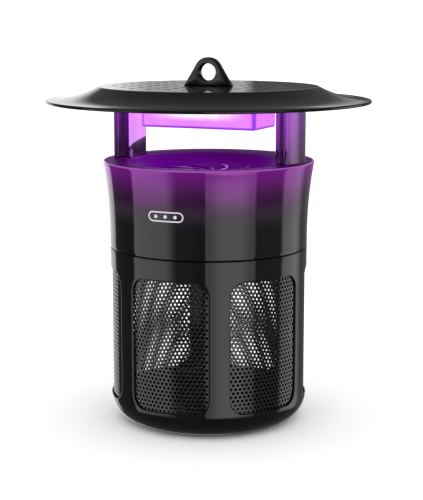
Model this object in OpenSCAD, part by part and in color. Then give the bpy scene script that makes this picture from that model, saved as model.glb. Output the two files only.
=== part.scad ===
// Fan-type insect trap with an ultraviolet lamp. Air is drawn down through the ring under the canopy and
// leaves through the perforated windows of the basket. Millimetres, +Z up, front of the trap at -Y, and the
// origin in the middle of the face that it stands on.

/* [Overall] */
// Outside diameter of the straight part of the body
body_d = 142.6; // [140:0.2:172]
// Height from the floor to the seam between the basket and the housing
basket_h = 127; // [100:1:160]
// Height of the fan housing, from the seam to the top of the intake ring
housing_h = 62; // [60:1:80]
// Height of the open gap between the intake ring and the canopy
gap_h = 41; // [36:1:60]
// Height of the canopy, from the underside of its brim to the flat top
cap_h = 11.5; // [10:0.5:16]
// Outside diameter of the canopy
brim_d = 232; // [215:1:285]

/* [Walls] */
// Wall of the fan housing
wall = 2.2; // [1.8:0.1:2.6]
// Wall of the basket
basket_wall = 1.2; // [1.1:0.1:1.8]
// Thickness of the canopy
cap_wall = 2.2; // [1.8:0.1:2.8]
// Height of the seam gap between the basket and the housing
seam_gap = 0.5; // [0.3:0.1:1]

/* [Canopy] */
// Width of the sloping brim, from the edge of the flat top to the rim
skirt_w = 37.6; // [30:0.2:40]
// How sharply the brim flattens out: 1 is a plain cone
skirt_power = 2.14; // [1.5:0.02:3]
// Diameter of the dimples in the flat top
dimple_d = 5; // [4:0.1:8]
// Depth of the dimples
dimple_depth = 0.9; // [0.5:0.1:1.4]
// Distance between dimples, along both axes
dimple_pitch = 13.5; // [11:0.1:18]
// Thickness of the tray under the canopy
tray_t = 2; // [1.6:0.1:3]

/* [Hanging loop] */
// Height of the centre of the eye above the flat top
eye_h = 9.7; // [8:0.1:14]
// Diameter of the eye
eye_d = 12.3; // [8:0.1:14]
// Width of the material round the eye
eye_rim = 4.25; // [3:0.05:6]
// Width of the loop where it meets the canopy
loop_w = 37; // [30:0.5:44]
// Thickness of the loop
loop_t = 4.4; // [3:0.1:6]

/* [Intake ring] */
// How far the intake ring stands out beyond the body
ring_flare = 5; // [2:0.5:8]
// Height below the ring where the flare begins
flare_h = 59; // [30:1:59]
// How sharply the flare opens: 1 is a plain cone
flare_power = 2.3; // [1.5:0.1:3]
// Width of the flat top of the ring, from the lip to the mouth of the funnel
ring_flat = 12.3; // [10:0.1:14]
// Depth of the funnel, from the top of the ring to the fan
funnel_depth = 21; // [18:0.5:24]
// Height of the top edges of the guide vanes below the top of the ring
vane_drop = 8.5; // [6:0.5:11]
// Number of guide vanes
vane_n = 12; // [8:1:16]

/* [Posts] */
// Radial thickness of a post
post_t = 11.8; // [10:0.1:14]
// Half of the angle that a post covers
post_half = 13.6; // [12:0.1:18]
// How far the posts stand in from the outside of the body
post_inset = 1.3; // [0.5:0.1:3]

/* [Lamp] */
// Width of the lamp cover
lamp_w = 88; // [70:1:92]
// Depth of the lamp cover, front to back
lamp_d = 40; // [34:1:50]
// How far the lamp cover hangs below the tray
lamp_drop = 17.9; // [14:0.1:24]
// Wall of the lamp cover
lamp_wall = 2.4; // [1.6:0.1:3]

/* [Fan] */
// Width of the square fan frame
fan_w = 92.5; // [91.5:0.1:92.5]
// Thickness of the fan
fan_t = 25; // [25:0.2:25.4]
// Distance between the fan's screw holes
fan_pitch = 82.5; // [81.5:0.5:82.5]
// Bore of the fan frame
fan_bore = 89; // [86:0.5:89]
// Number of fan blades
blade_n = 7; // [5:1:9]

/* [Basket windows] */
// Angle that a window covers
window_a = 47.5; // [38:0.5:48]
// Height of the windows above the end of the rounded bottom edge
window_sill = 0.2; // [0.2:0.1:12]
// Distance from the top edge of the windows to the seam
window_top = 15; // [12:0.5:30]
// Radius of the window corners
window_r = 11.5; // [4:0.5:14]
// Radius of the rounded bottom edge of the basket
base_round = 17.5; // [10:0.5:22]

/* [Power panel] */
// Width of the recess at the back
bay_w = 46; // [44:1:50]
// Height of the recess at the back
bay_h = 16; // [16:0.5:17]

/* [Hidden] */
$fn = 96;
small_fn = 32;
eps = 0.01;
fit = 0.2;          // gap between fixed pieces that lie side by side
seat = 0.1;         // gap between a piece and the face that it sits on
slide_gap = 0.3;    // gap between the basket and what it slides past

body_r = body_d / 2;
brim_r = brim_d / 2;
cap_r = brim_r - skirt_w;
ring_r = body_r + ring_flare;
body_in = body_r - wall;

basket_top = basket_h - seam_gap / 2;
housing_z = basket_h + seam_gap / 2;
ring_z = basket_h + housing_h;
rim_under = ring_z - wall;
brim_z = ring_z + gap_h;
top_z = brim_z + cap_h;
plate_under = top_z - cap_wall;
skirt_reach = skirt_w - cap_wall / 2;

// hanging loop: the tongue goes through the canopy to a foot that is screwed on from below
tongue_w = loop_w - 9;
loop_foot_x = loop_w / 2 + 6;
loop_foot_y = 6;
loop_foot_t = 2.4;
loop_boss_r = 2.6;
loop_boss_x = loop_w / 2 + 1;

// posts
post_out = body_r - post_inset;
post_in = post_out - post_t;
cover_t = 3.8;
cover_in = post_out - cover_t;
core_out = cover_in - fit;
foot_h = 1.2;
foot_step = 1.1;
foot_half = post_half + 1.3;
pad_half = foot_half + 0.7;
channel_half = 5;
channel_in = post_in + 3.6;
post_screw_r = post_in + 3.8;
post_screw_a = 9.2;
post_screw_in = 12;
groove_r = 1.9;
groove_depth = 0.9;
groove_at = core_out - 2.6;

// fasteners: radius of the thread, and radius and height of the head
screw_r = 1.3;
head_r = 2.7;
head_h = 2;
screw_gap = 0.1;
slot_t = 0.8;
slot_depth = 1.1;

// tray and lamp
tray_z = brim_z + fit;
tray_top = tray_z + tray_t;
tray_r = cap_r + 9.6;
tray_rim_t = 2;
cap_boss_r = 3.5;
cap_boss_at = cap_r - 6.4;
wire_hole_r = 2.3;
lamp_z = tray_z - lamp_drop;
lamp_flange_t = 2;
lamp_flange_x = lamp_w / 2 + 6;
lamp_flange_y = lamp_d / 2 + 2;
lamp_screw_x = lamp_w / 2 + 3;
lamp_screw_y = lamp_d / 2 - 6;
board_t = 1.6;
board_drop = 2.6;
board_z = tray_z - board_drop - board_t;
board_w = lamp_w - 2 * lamp_wall - 4;
board_d = lamp_d - 2 * lamp_wall - 4;
board_boss_r = 3;
board_screw_x = board_w / 2 - 5;
led_w = 3.5;
led_t = 0.8;
led_cols = 6;
led_pitch_x = 10.5;
led_pitch_y = 14;
lamp_wire_x = 14;

// funnel and fan
fan_top = ring_z - funnel_depth;
fan_z = fan_top - fan_t;
throat_r = fan_bore / 2 + 0.5;
pad_in = post_in - foot_step - 0.4;
rim_in = ring_r - ring_flat;
bell_r = rim_in - fit;
bell_top = ring_z - 0.4;
bell_z = fan_top + 4;
bell_steps = 9;
funnel_wall = 2;
funnel_flange_t = 2.2;
funnel_flange_z = rim_under - seat;
funnel_flange_r = rim_in + 7;
fan_flange_r = fan_pitch / sqrt(2) + 5.6;
fan_flange_t = 2.5;
funnel_screw_r = rim_in + 3.6;
fan_corner = 4;
fan_flange = 4;
fan_hole_r = 2.15;
fan_screw_r = 2;
fan_hub_r = 18.5;
fan_hub_base = 2.5;
bush_r = 3.2;
bush_tube_r = 4.8;
shaft_r = 1.5;
run_gap = 0.03;
tip_gap = 1.2;
boss_h = 5;
hub_top = fan_top - 1.5;
hub_wall = 1.5;
hub_z = fan_z + fan_hub_base + 2;
magnet_r = fan_hub_r - hub_wall;
magnet_t = 1.5;
stator_r = magnet_r - magnet_t - 0.8;
vane_top = ring_z - vane_drop;
vane_hub_r = 14;
vane_t = 1.4;
vane_lip = 1.5;
vane_lip_t = 1.9;
vane_arc_r = 0.75 * throat_r;

// baffle and the basket's neck
baffle_t = 2.2;
baffle_z = fan_z - baffle_t;
baffle_r = body_in - fit;
neck_r = body_in - 0.9;
neck_in = neck_r - 2.2;
neck_top = baffle_z - slide_gap;
seal_h = 3;
seal_z = basket_top + 3.5;
seal_depth = 1.2;

// basket
window_n = 6;
foot_drop = 0.8;
foot_groove = 0.8;
window_z = foot_drop + base_round + window_sill;
foot_ring_out = body_r - base_round - 3;
foot_ring_in = foot_ring_out - 7;
window_h = basket_h - window_top - window_z;
basket_in = body_r - basket_wall;
bowl_top = foot_drop + base_round;
neck_step = 7;
panel_out = basket_in - seat;
panel_t = 1;
panel_in = panel_out - panel_t;
panel_lip_z = 0.7;
panel_lip_top = 3;
rail_web_half = 2.6;
panel_half = 180 / window_n - rail_web_half - 0.3;
rail_half = rail_web_half + 2.4;
rail_t = 1.2;

// power panel
bay_y = body_in - 8.4;
bay_wall = 2;
bay_z = fan_z + 0.3;
bay_top = bay_z + bay_h + 2 * bay_wall;
bay_mid = bay_z + bay_wall + bay_h / 2;
switch_x = -9;
jack_x = 11;
switch_w = 15;
switch_h = 10.5;
switch_body_w = 12.8;
switch_body_h = 9;
switch_depth = 8.5;
bezel_t = 1.6;
rocker_w = 8.8;
rocker_h = 6.2;
rocker_gap = 0.5;
rocker_tilt = 8;
rocker_pin_r = 0.7;
rocker_pin_gap = 0.05;
rocker_room = 4.2;
pivot_y = bay_y + 0.3;
jack_r = 5.4;
jack_flange_r = 7;
jack_bore_r = 3.1;
jack_bore_depth = 9;
jack_pin_r = 1.05;
jack_len = 10;
nut_r = 7;
nut_t = 2;
peg_r = 2;
peg_x = 20;
ctrl_t = 1.6;
ctrl_y = fan_w / 2 + 2.8;
ctrl_w = 46;
ctrl_h = 18;
socket_x = 16;

// the lamp's lead, inside the canopy and the post: a chosen route
wire_r = 1.2;
wire_sides = 8;
wire_out = core_out - 1.8;
wire_path = [[lamp_wire_x, 0, tray_z - 1], [lamp_wire_x, 0, tray_top + 0.6],
    [lamp_wire_x + 2, 4, tray_top + 2], [lamp_wire_x + 10, 7.5, tray_top + 2],
    [(lamp_wire_x + core_out) / 2 + 3, 3, tray_top + 2], [core_out - 4.4, 0, tray_top + 2],
    [wire_out, 0, tray_top + 0.6], [wire_out, 0, tray_z - 3], [wire_out, 0, ring_z + 3],
    [wire_out, 0, rim_under - 6],
    [wire_out, 6, rim_under - 9], [core_out - 4, 20, rim_under - 11], [47, 47, fan_top + 6],
    [29, 61, fan_top + 4], [20, 63, fan_top - 0.5], [19, 60, bay_top + 2.3],
    [socket_x, 56, bay_top + 1.3], [socket_x, ctrl_y + ctrl_t + 2.9, bay_top + 0.9],
    [socket_x, ctrl_y + ctrl_t + 2.2, bay_mid + 9.2]];

// ---- shapes that repeat ----

module tube(r_in, r_out, z0, z1) {
    difference() {
        translate([0, 0, z0]) cylinder(r = r_out, h = z1 - z0);
        translate([0, 0, z0 - eps]) cylinder(r = r_in, h = z1 - z0 + 2 * eps);
    }
}

module arc_wall(r_in, r_out, a0, a1, z0, z1) {
    rotate([0, 0, a0]) rotate_extrude(angle = a1 - a0) translate([r_in, z0]) square([r_out - r_in, z1 - z0]);
}

module rod(at, r, z0, z1) {
    translate([at[0], at[1], z0]) cylinder(r = r, h = z1 - z0, $fn = small_fn);
}

module block(x0, x1, y0, y1, z0, z1) {
    translate([x0, y0, z0]) cube([x1 - x0, y1 - y0, z1 - z0]);
}

// A screw whose head is at z = 0 and below, with its thread upwards
module screw(length, r = screw_r, hr = head_r, hh = head_h) {
    difference() {
        union() {
            translate([0, 0, -hh]) cylinder(r = hr, h = hh, $fn = small_fn);
            translate([0, 0, -eps]) cylinder(r = r, h = length + eps, $fn = small_fn);
        }
        for (a = [0, 90]) rotate([0, 0, a])
            translate([-hr * 0.6, -slot_t / 2, -hh - eps]) cube([hr * 1.2, slot_t, slot_depth]);
    }
}

module polar(r, a) {
    rotate([0, 0, a]) translate([r, 0, 0]) children();
}

// Outline of a rectangle with rounded corners, from [-w / 2, 0] to [w / 2, h]
function rounded(w, h, corner, n = 8) = [for (q = [0:3], k = [0:n])
    let (a = 90 * (q + k / n))
    let (x = q == 0 || q == 3 ? w / 2 - corner : corner - w / 2, y = q < 2 ? h - corner : corner)
    [x + corner * cos(a), y + corner * sin(a)]];

// A radial prism that cuts a window at angle 0
module window_cutter(w, h, corner, depth0, depth1) {
    translate([depth0, 0, 0]) rotate([90, 0, 90]) linear_extrude(depth1 - depth0)
        polygon(rounded(w, h, corner));
}

// Points of the canopy's top surface at radius r, measured up from the brim's underside
function skirt_z(r) = cap_wall + (cap_h - cap_wall) * pow(max(0, 1 - (r - cap_r) / skirt_reach), skirt_power);
function skirt_points(n, drop) = [for (i = [0:n]) let (r = cap_r + skirt_reach * i / n)
    [r, brim_z + skirt_z(r) - drop]];
function reversed(list) = [for (i = [len(list) - 1:-1:0]) list[i]];

// Points of the housing's flared outside at height z
function flare_r(z) = let (start = ring_z - flare_h, h = max(0, z - start))
    body_r + ring_flare * pow(h / flare_h, flare_power);
function flare_points(z0, z1, n, inset) = [for (i = [0:n]) let (z = z0 + (z1 - z0) * i / n)
    [flare_r(z) - inset, z]];

// ---- canopy ----

module dimple_grid() {
    reach = cap_r - 11;
    ball_r = (pow(dimple_d / 2, 2) + pow(dimple_depth, 2)) / (2 * dimple_depth);
    half = floor(reach / dimple_pitch) + 1;
    for (i = [-half:half], j = [-half:half]) {
        x = (i + 0.5) * dimple_pitch;
        y = j * dimple_pitch;
        clear_of_loop = abs(x) > loop_w / 2 + dimple_d / 2 || abs(y) > loop_t / 2 + dimple_d / 2;
        if (norm([x, y]) < reach && clear_of_loop)
            translate([x, y, top_z - dimple_depth + ball_r]) sphere(r = ball_r, $fn = small_fn);
    }
}

module cap_shell() color([0.05, 0.05, 0.055]) {
    n = 12;
    edge = cap_wall / 2;
    difference() {
        union() {
            rotate_extrude() polygon(concat([[0, top_z], [cap_r - 1, top_z]], skirt_points(n, 0),
                [for (a = [60:-30:-60]) [brim_r - edge + edge * cos(a), brim_z + edge + edge * sin(a)]],
                [[brim_r - edge, brim_z]],
                reversed([for (p = skirt_points(n, cap_wall)) if (p[0] < brim_r - 4) p]),
                [[cap_r - 1, plate_under], [0, plate_under]]));
            for (a = [45:90:315]) polar(cap_boss_at, a)
                rod([0, 0], cap_boss_r, tray_top + seat, plate_under + eps);
            for (s = [-1, 1])
                rod([s * loop_boss_x, 0], loop_boss_r, plate_under - loop_foot_t - seat, plate_under + eps);
        }
        dimple_grid();
        block(-tongue_w / 2 - fit, tongue_w / 2 + fit, -loop_t / 2 - fit, loop_t / 2 + fit,
            plate_under - 1, top_z + 1);
        for (a = [45:90:315]) polar(cap_boss_at, a)
            rod([0, 0], screw_r + screw_gap, tray_top, plate_under - 1);
        for (s = [-1, 1])
            rod([s * loop_boss_x, 0], screw_r + screw_gap, plate_under - loop_foot_t - 1, plate_under + 0.6);
    }
}

module hanging_loop() color([0.06, 0.06, 0.065]) {
    eye_z = top_z + eye_h;
    out_r = eye_d / 2 + eye_rim;
    lean = acos(out_r / norm([loop_w / 2, eye_h]));
    side = atan2(eye_h, loop_w / 2);
    touch = lean - side;
    tx = out_r * cos(touch);
    tz = eye_h + out_r * sin(touch);
    difference() {
        union() {
            translate([0, loop_t / 2, top_z + seat]) rotate([90, 0, 0]) linear_extrude(loop_t)
                polygon([[-loop_w / 2, 0], [loop_w / 2, 0], [tx, tz], [-tx, tz]]);
            translate([0, loop_t / 2, eye_z + seat]) rotate([90, 0, 0]) cylinder(r = out_r, h = loop_t);
            block(-tongue_w / 2, tongue_w / 2, -loop_t / 2, loop_t / 2,
                plate_under - seat - eps, top_z + seat + eps);
            block(-loop_foot_x, loop_foot_x, -loop_foot_y, loop_foot_y,
                plate_under - seat - loop_foot_t, plate_under - seat);
        }
        translate([0, loop_t, eye_z + seat]) rotate([90, 0, 0]) cylinder(d = eye_d, h = 2 * loop_t);
        for (s = [-1, 1])
            rod([s * loop_boss_x, 0], loop_boss_r + fit, plate_under - loop_foot_t - 2, plate_under + 1);
    }
}

module loop_screws() color([0.7, 0.7, 0.72])
    for (s = [-1, 1]) translate([s * loop_boss_x, 0, plate_under - seat - loop_foot_t - seat])
        screw(loop_foot_t + 0.6, hr = loop_boss_r + 1.4);

module cap_tray() color([0.09, 0.09, 0.1]) difference() {
    union() {
        translate([0, 0, tray_z]) cylinder(r = tray_r, h = tray_t);
        rim_top = brim_z + skirt_z(tray_r) - cap_wall - 0.4;
        tube(tray_r - tray_rim_t, tray_r, tray_top - eps, rim_top);
        for (s = [-1, 1]) rod([s * board_screw_x, 0], board_boss_r, board_z + board_t, tray_z + eps);
    }
    for (a = [45:90:315]) polar(cap_boss_at, a) rod([0, 0], screw_r + screw_gap, tray_z - 1, tray_top + 1);
    for (side = [0, 180], s = [-1, 1]) polar(post_screw_r, side + s * post_screw_a)
        rod([0, 0], screw_r + screw_gap, tray_z - 1, tray_top + 1);
    for (sx = [-1, 1], sy = [-1, 1])
        rod([sx * lamp_screw_x, sy * lamp_screw_y], screw_r + screw_gap, tray_z - 1, tray_top - 0.4);
    for (s = [-1, 1]) rod([s * board_screw_x, 0], screw_r + screw_gap, board_z, tray_top - 0.5);
    rod([lamp_wire_x, 0], wire_hole_r, tray_z - 1, tray_top + 1);
    rod([wire_out, 0], wire_hole_r - 0.5, tray_z - 1, tray_top + 1);
}

module cap_screws() color([0.7, 0.7, 0.72])
    for (a = [45:90:315]) polar(cap_boss_at, a) translate([0, 0, tray_z - seat]) screw(tray_t + seat + 4.5);

// ---- lamp ----

module led_cover() color([0.8, 0.6, 1, 0.5]) difference() {
    union() {
        block(-lamp_w / 2, lamp_w / 2, -lamp_d / 2, lamp_d / 2, lamp_z, tray_z - seat);
        block(-lamp_flange_x, lamp_flange_x, -lamp_flange_y, lamp_flange_y,
            tray_z - seat - lamp_flange_t, tray_z - seat);
    }
    block(-lamp_w / 2 + lamp_wall, lamp_w / 2 - lamp_wall, -lamp_d / 2 + lamp_wall, lamp_d / 2 - lamp_wall,
        lamp_z + lamp_wall, tray_z + 1);
    for (sx = [-1, 1], sy = [-1, 1])
        rod([sx * lamp_screw_x, sy * lamp_screw_y], screw_r + screw_gap, tray_z - 6, tray_z + 1);
}

module led_cover_screws() color([0.7, 0.7, 0.72])
    for (sx = [-1, 1], sy = [-1, 1])
        translate([sx * lamp_screw_x, sy * lamp_screw_y, tray_z - lamp_flange_t - 2 * seat])
            screw(lamp_flange_t + 2 * seat + 1.3);

module led_board() color([0.85, 0.86, 0.88]) difference() {
    block(-board_w / 2, board_w / 2, -board_d / 2, board_d / 2, board_z, board_z + board_t);
    for (s = [-1, 1]) rod([s * board_screw_x, 0], screw_r + screw_gap, board_z - 1, board_z + board_t + 1);
}

module uv_leds() color([0.9, 0.85, 0.4])
    for (i = [0:led_cols - 1], s = [-1, 1])
        translate([(i - (led_cols - 1) / 2) * led_pitch_x, s * led_pitch_y / 2, board_z - led_t / 2])
            cube([led_w, led_w, led_t], center = true);

module led_board_screws() color([0.7, 0.7, 0.72])
    for (s = [-1, 1]) translate([s * board_screw_x, 0, board_z - seat])
        screw(board_t + board_drop + 0.8, hh = 1.4);

// ---- posts ----

module post_core() difference() {
    union() {
        arc_wall(post_in, core_out, -post_half, post_half, ring_z + foot_h - eps, tray_z - seat);
        arc_wall(post_in - foot_step, post_out + foot_step, -foot_half, foot_half,
            ring_z + seat, ring_z + foot_h);
    }
    arc_wall(channel_in, core_out + 1, -channel_half, channel_half, ring_z + foot_h, tray_z);
    rod([wire_out, 0], wire_hole_r - 0.5, ring_z - 1, ring_z + foot_h + 1);
    for (s = [-1, 1]) polar(groove_at, s * post_half)
        rod([0, s * (groove_r - groove_depth)], groove_r, ring_z + foot_h, tray_z);
    for (s = [-1, 1]) polar(post_screw_r, s * post_screw_a) {
        rod([0, 0], screw_r + screw_gap, ring_z - 1, ring_z + post_screw_in);
        rod([0, 0], screw_r + screw_gap, tray_z - post_screw_in, tray_z);
    }
}

module post_cover()
    arc_wall(cover_in, post_out, -post_half, post_half, ring_z + foot_h + seat, tray_z - seat);

module post_right_core() color([0.1, 0.08, 0.12]) post_core();
module post_left_core() color([0.1, 0.08, 0.12]) rotate([0, 0, 180]) post_core();
module post_right_cover() color([0.12, 0.1, 0.14]) post_cover();
module post_left_cover() color([0.12, 0.1, 0.14]) rotate([0, 0, 180]) post_cover();

module post_top_screws() color([0.7, 0.7, 0.72])
    for (side = [0, 180], s = [-1, 1]) polar(post_screw_r, side + s * post_screw_a)
        translate([0, 0, tray_top + seat]) mirror([0, 0, 1]) screw(tray_t + seat + post_screw_in - 3);

module post_foot_screws() color([0.7, 0.7, 0.72])
    for (side = [0, 180], s = [-1, 1]) polar(post_screw_r, side + s * post_screw_a)
        translate([0, 0, funnel_flange_z - funnel_flange_t - seat])
            screw(funnel_flange_t + wall + post_screw_in - 2);

// ---- fan housing ----

module upper_housing() color([0.05, 0.05, 0.055]) {
    n = 14;
    edge = 1.1;
    lip_r = flare_r(ring_z - edge);
    difference() {
        union() {
            rotate_extrude() polygon(concat(flare_points(housing_z, ring_z - edge, n, 0),
                [for (a = [30:30:90]) [lip_r - edge + edge * cos(a), ring_z - edge + edge * sin(a)]],
                [[rim_in, ring_z], [rim_in, rim_under]],
                reversed(flare_points(housing_z, rim_under, n, wall))));
            for (side = [0, 180]) rotate([0, 0, side])
                arc_wall(pad_in, rim_in + 1, -pad_half, pad_half, rim_under, ring_z);
        }
        for (side = [0, 180], s = [-1, 1]) polar(post_screw_r, side + s * post_screw_a)
            rod([0, 0], screw_r + screw_gap, rim_under - 1, ring_z + 1);
        for (a = [90, 270]) polar(funnel_screw_r, a)
            rod([0, 0], screw_r + screw_gap, rim_under - 1, ring_z - 0.6);
        rod([wire_out, 0], wire_hole_r - 0.5, rim_under - 1, ring_z + 1);
        block(-bay_w / 2, bay_w / 2, body_in - 12, ring_r + 1, bay_mid - bay_h / 2, bay_mid + bay_h / 2);
    }
}

module intake_funnel() color([0.06, 0.05, 0.08]) difference() {
    rotate_extrude() polygon(concat(
        [for (i = [0:bell_steps]) let (t = 90 * i / bell_steps)
            [bell_r - (bell_r - throat_r) * sin(t), bell_z + (bell_top - bell_z) * cos(t)]],
        [[throat_r, fan_top], [fan_flange_r, fan_top], [fan_flange_r, fan_top + fan_flange_t],
         [throat_r + funnel_wall, fan_top + fan_flange_t], [throat_r + funnel_wall, bell_z + 2],
         [bell_r - 6.5, funnel_flange_z - funnel_flange_t],
         [funnel_flange_r, funnel_flange_z - funnel_flange_t],
         [funnel_flange_r, funnel_flange_z], [bell_r, funnel_flange_z]]));
    for (side = [0, 180]) rotate([0, 0, side])
        arc_wall(pad_in - fit, bell_r + 1, -pad_half - 0.3, pad_half + 0.3, funnel_flange_z, ring_z + 1);
    for (side = [0, 180], s = [-1, 1]) polar(post_screw_r, side + s * post_screw_a)
        rod([0, 0], screw_r + screw_gap, rim_under - 6, ring_z + 1);
    for (a = [90, 270]) polar(funnel_screw_r, a) rod([0, 0], screw_r + screw_gap, rim_under - 6, ring_z + 1);
    rod([wire_out, 0], wire_hole_r, rim_under - 6, ring_z + 1);
    tube(throat_r - 1, throat_r + vane_lip + fit, fan_top - 1, fan_top + vane_lip_t + fit);
    for (sx = [-1, 1], sy = [-1, 1])
        rod([sx * fan_pitch / 2, sy * fan_pitch / 2], fan_screw_r + screw_gap,
            fan_top - 1, fan_top + fan_flange_t + 1);
}

module funnel_screws() color([0.7, 0.7, 0.72])
    for (a = [90, 270]) polar(funnel_screw_r, a) translate([0, 0, funnel_flange_z - funnel_flange_t - seat])
        screw(funnel_flange_t + wall - 0.5);

// A vane is an arc that would pass through the axis, from the hub to the ring
module guide_vanes() color([0.06, 0.05, 0.08]) {
    turn0 = 2 * asin((vane_hub_r - 0.6) / (2 * vane_arc_r));
    turn1 = 2 * asin((throat_r - 0.6) / (2 * vane_arc_r));
    tube(throat_r - 1.5, throat_r + vane_lip, fan_top + seat, fan_top + vane_lip_t);
    tube(3, vane_hub_r, vane_top - 6, vane_top - 0.5);
    for (i = [0:vane_n - 1]) rotate([0, 0, i * 360 / vane_n]) translate([0, vane_arc_r, 0])
        arc_wall(vane_arc_r - vane_t / 2, vane_arc_r + vane_t / 2, -90 + turn0, -90 + turn1,
            fan_top + 0.6, vane_top);
}

module baffle_plate() color([0.08, 0.08, 0.09]) difference() {
    tube(throat_r, baffle_r, baffle_z, fan_z);
    for (sx = [-1, 1], sy = [-1, 1])
        rod([sx * fan_pitch / 2, sy * fan_pitch / 2], fan_screw_r + screw_gap, baffle_z - 1, fan_z + 1);
}

// ---- fan ----

module fan_plate(z0, z1) {
    h = fan_w / 2 - fan_corner;
    block(-h, h, -fan_w / 2, fan_w / 2, z0, z1);
    block(-fan_w / 2, fan_w / 2, -h, h, z0, z1);
    for (sx = [-1, 1], sy = [-1, 1]) rod([sx * h, sy * h], fan_corner, z0, z1);
}

module fan_frame() color([0.07, 0.07, 0.08]) {
    z0 = fan_z + seat;
    z1 = fan_top - seat;
    difference() {
        union() {
            fan_plate(z0, z0 + fan_flange);
            fan_plate(z1 - fan_flange, z1);
            translate([0, 0, z0]) cylinder(r = fan_bore / 2 + 1.6, h = z1 - z0);
            for (sx = [-1, 1], sy = [-1, 1])
                rod([sx * fan_pitch / 2, sy * fan_pitch / 2], fan_corner, z0, z1);
        }
        translate([0, 0, z0 - 1]) cylinder(d = fan_bore, h = fan_t + 2);
        for (sx = [-1, 1], sy = [-1, 1])
            rod([sx * fan_pitch / 2, sy * fan_pitch / 2], fan_hole_r, z0 - 1, z1 + 1);
    }
    difference() {
        union() {
            translate([0, 0, z0]) cylinder(r = fan_hub_r, h = fan_hub_base);
            translate([0, 0, z0]) cylinder(r = bush_tube_r, h = fan_t / 2 + 2);
            for (a = [20:90:290]) rotate([0, 0, a])
                block(fan_hub_r - 1, fan_bore / 2 + 0.5, -1.6, 1.6, z0, z0 + fan_hub_base);
        }
        translate([0, 0, z0 + 1]) cylinder(r = bush_r, h = fan_t);
    }
}

module fan_bush() color([0.75, 0.6, 0.3])
    tube(shaft_r + run_gap, bush_r, fan_z + seat + 1, fan_z + fan_t / 2 + 2);

module fan_stator() color([0.72, 0.45, 0.2]) {
    z0 = hub_z + 2;
    tube(bush_tube_r + 0.05, bush_tube_r + 2.6, z0, z0 + 9);
    for (a = [0:90:270]) rotate([0, 0, a]) {
        block(bush_tube_r + 2, stator_r - 1.4, -2.2, 2.2, z0 + 1, z0 + 8);
        arc_wall(stator_r - 2, stator_r, -32, 32, z0 + 1, z0 + 8);
    }
}

module fan_rotor() color([0.1, 0.1, 0.11]) {
    blade_r = fan_bore / 2 - tip_gap;
    difference() {
        translate([0, 0, hub_z]) cylinder(r = fan_hub_r, h = hub_top - hub_z);
        translate([0, 0, hub_z - 1]) cylinder(r = magnet_r, h = hub_top - hub_z + 1 - hub_wall);
    }
    tube(shaft_r + 0.01, shaft_r + 2, hub_top - hub_wall - boss_h, hub_top - hub_wall + eps);
    for (i = [0:blade_n - 1]) rotate([0, 0, i * 360 / blade_n]) intersection() {
        tube(fan_hub_r - 0.6, blade_r, hub_z, hub_top);
        translate([0, 0, (hub_z + hub_top) / 2]) rotate([34, 0, 0])
            block(0, blade_r + 2, -13, 13, -0.8, 0.8);
    }
}

module fan_magnet() color([0.25, 0.25, 0.27])
    tube(magnet_r - magnet_t, magnet_r - 0.02, hub_z + 0.5, hub_z + 12);

module fan_shaft() color([0.8, 0.8, 0.82])
    rod([0, 0], shaft_r, fan_z + seat + 1.4, hub_top - hub_wall);

module fan_screws() color([0.7, 0.7, 0.72])
    for (sx = [-1, 1], sy = [-1, 1]) translate([sx * fan_pitch / 2, sy * fan_pitch / 2, baffle_z - seat])
        screw(baffle_t + fan_t + fan_flange_t, r = fan_screw_r, hr = 3.8);

// ---- power panel ----

module rear_panel() color([0.09, 0.09, 0.1]) {
    difference() {
        intersection() {
            block(-bay_w / 2 - bay_wall, bay_w / 2 + bay_wall, bay_y - bay_wall, ring_r, bay_z, bay_top);
            rotate_extrude() polygon(concat([[0, bay_z - 1]],
                flare_points(bay_z - 1, bay_top + 1, 5, wall + fit), [[0, bay_top + 1]]));
        }
        block(-bay_w / 2, bay_w / 2, bay_y, body_r + 1, bay_mid - bay_h / 2, bay_mid + bay_h / 2);
        block(switch_x - switch_body_w / 2 - fit, switch_x + switch_body_w / 2 + fit,
            bay_y - bay_wall - 1, bay_y + 1,
            bay_mid - switch_body_h / 2 - fit, bay_mid + switch_body_h / 2 + fit);
        translate([jack_x, bay_y + 1, bay_mid]) rotate([90, 0, 0])
            cylinder(r = jack_r + fit, h = bay_wall + 2);
    }
    for (s = [-1, 1]) difference() {
        translate([s * peg_x, bay_y - bay_wall + eps, bay_mid]) rotate([90, 0, 0])
            cylinder(r = peg_r, h = bay_y - bay_wall - ctrl_y - ctrl_t - seat, $fn = small_fn);
        translate([s * peg_x, ctrl_y + ctrl_t + 5, bay_mid]) rotate([90, 0, 0])
            cylinder(r = 1, h = 6, $fn = small_fn);
    }
}

module switch_body() color([0.04, 0.04, 0.045]) difference() {
    union() {
        block(switch_x - switch_w / 2, switch_x + switch_w / 2, bay_y + seat, bay_y + bezel_t,
            bay_mid - switch_h / 2, bay_mid + switch_h / 2);
        block(switch_x - switch_body_w / 2, switch_x + switch_body_w / 2,
            bay_y - switch_depth, bay_y + seat + eps,
            bay_mid - switch_body_h / 2, bay_mid + switch_body_h / 2);
    }
    block(switch_x - rocker_w / 2 - rocker_gap - 0.4, switch_x + rocker_w / 2 + rocker_gap + 0.4,
        bay_y - rocker_room, bay_y + bezel_t + 1,
        bay_mid - rocker_h / 2 - slide_gap, bay_mid + rocker_h / 2 + slide_gap);
    translate([switch_x, pivot_y, bay_mid - rocker_h / 2 - 1])
        cylinder(r = rocker_pin_r + rocker_pin_gap, h = rocker_h + 2, $fn = small_fn);
}

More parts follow.
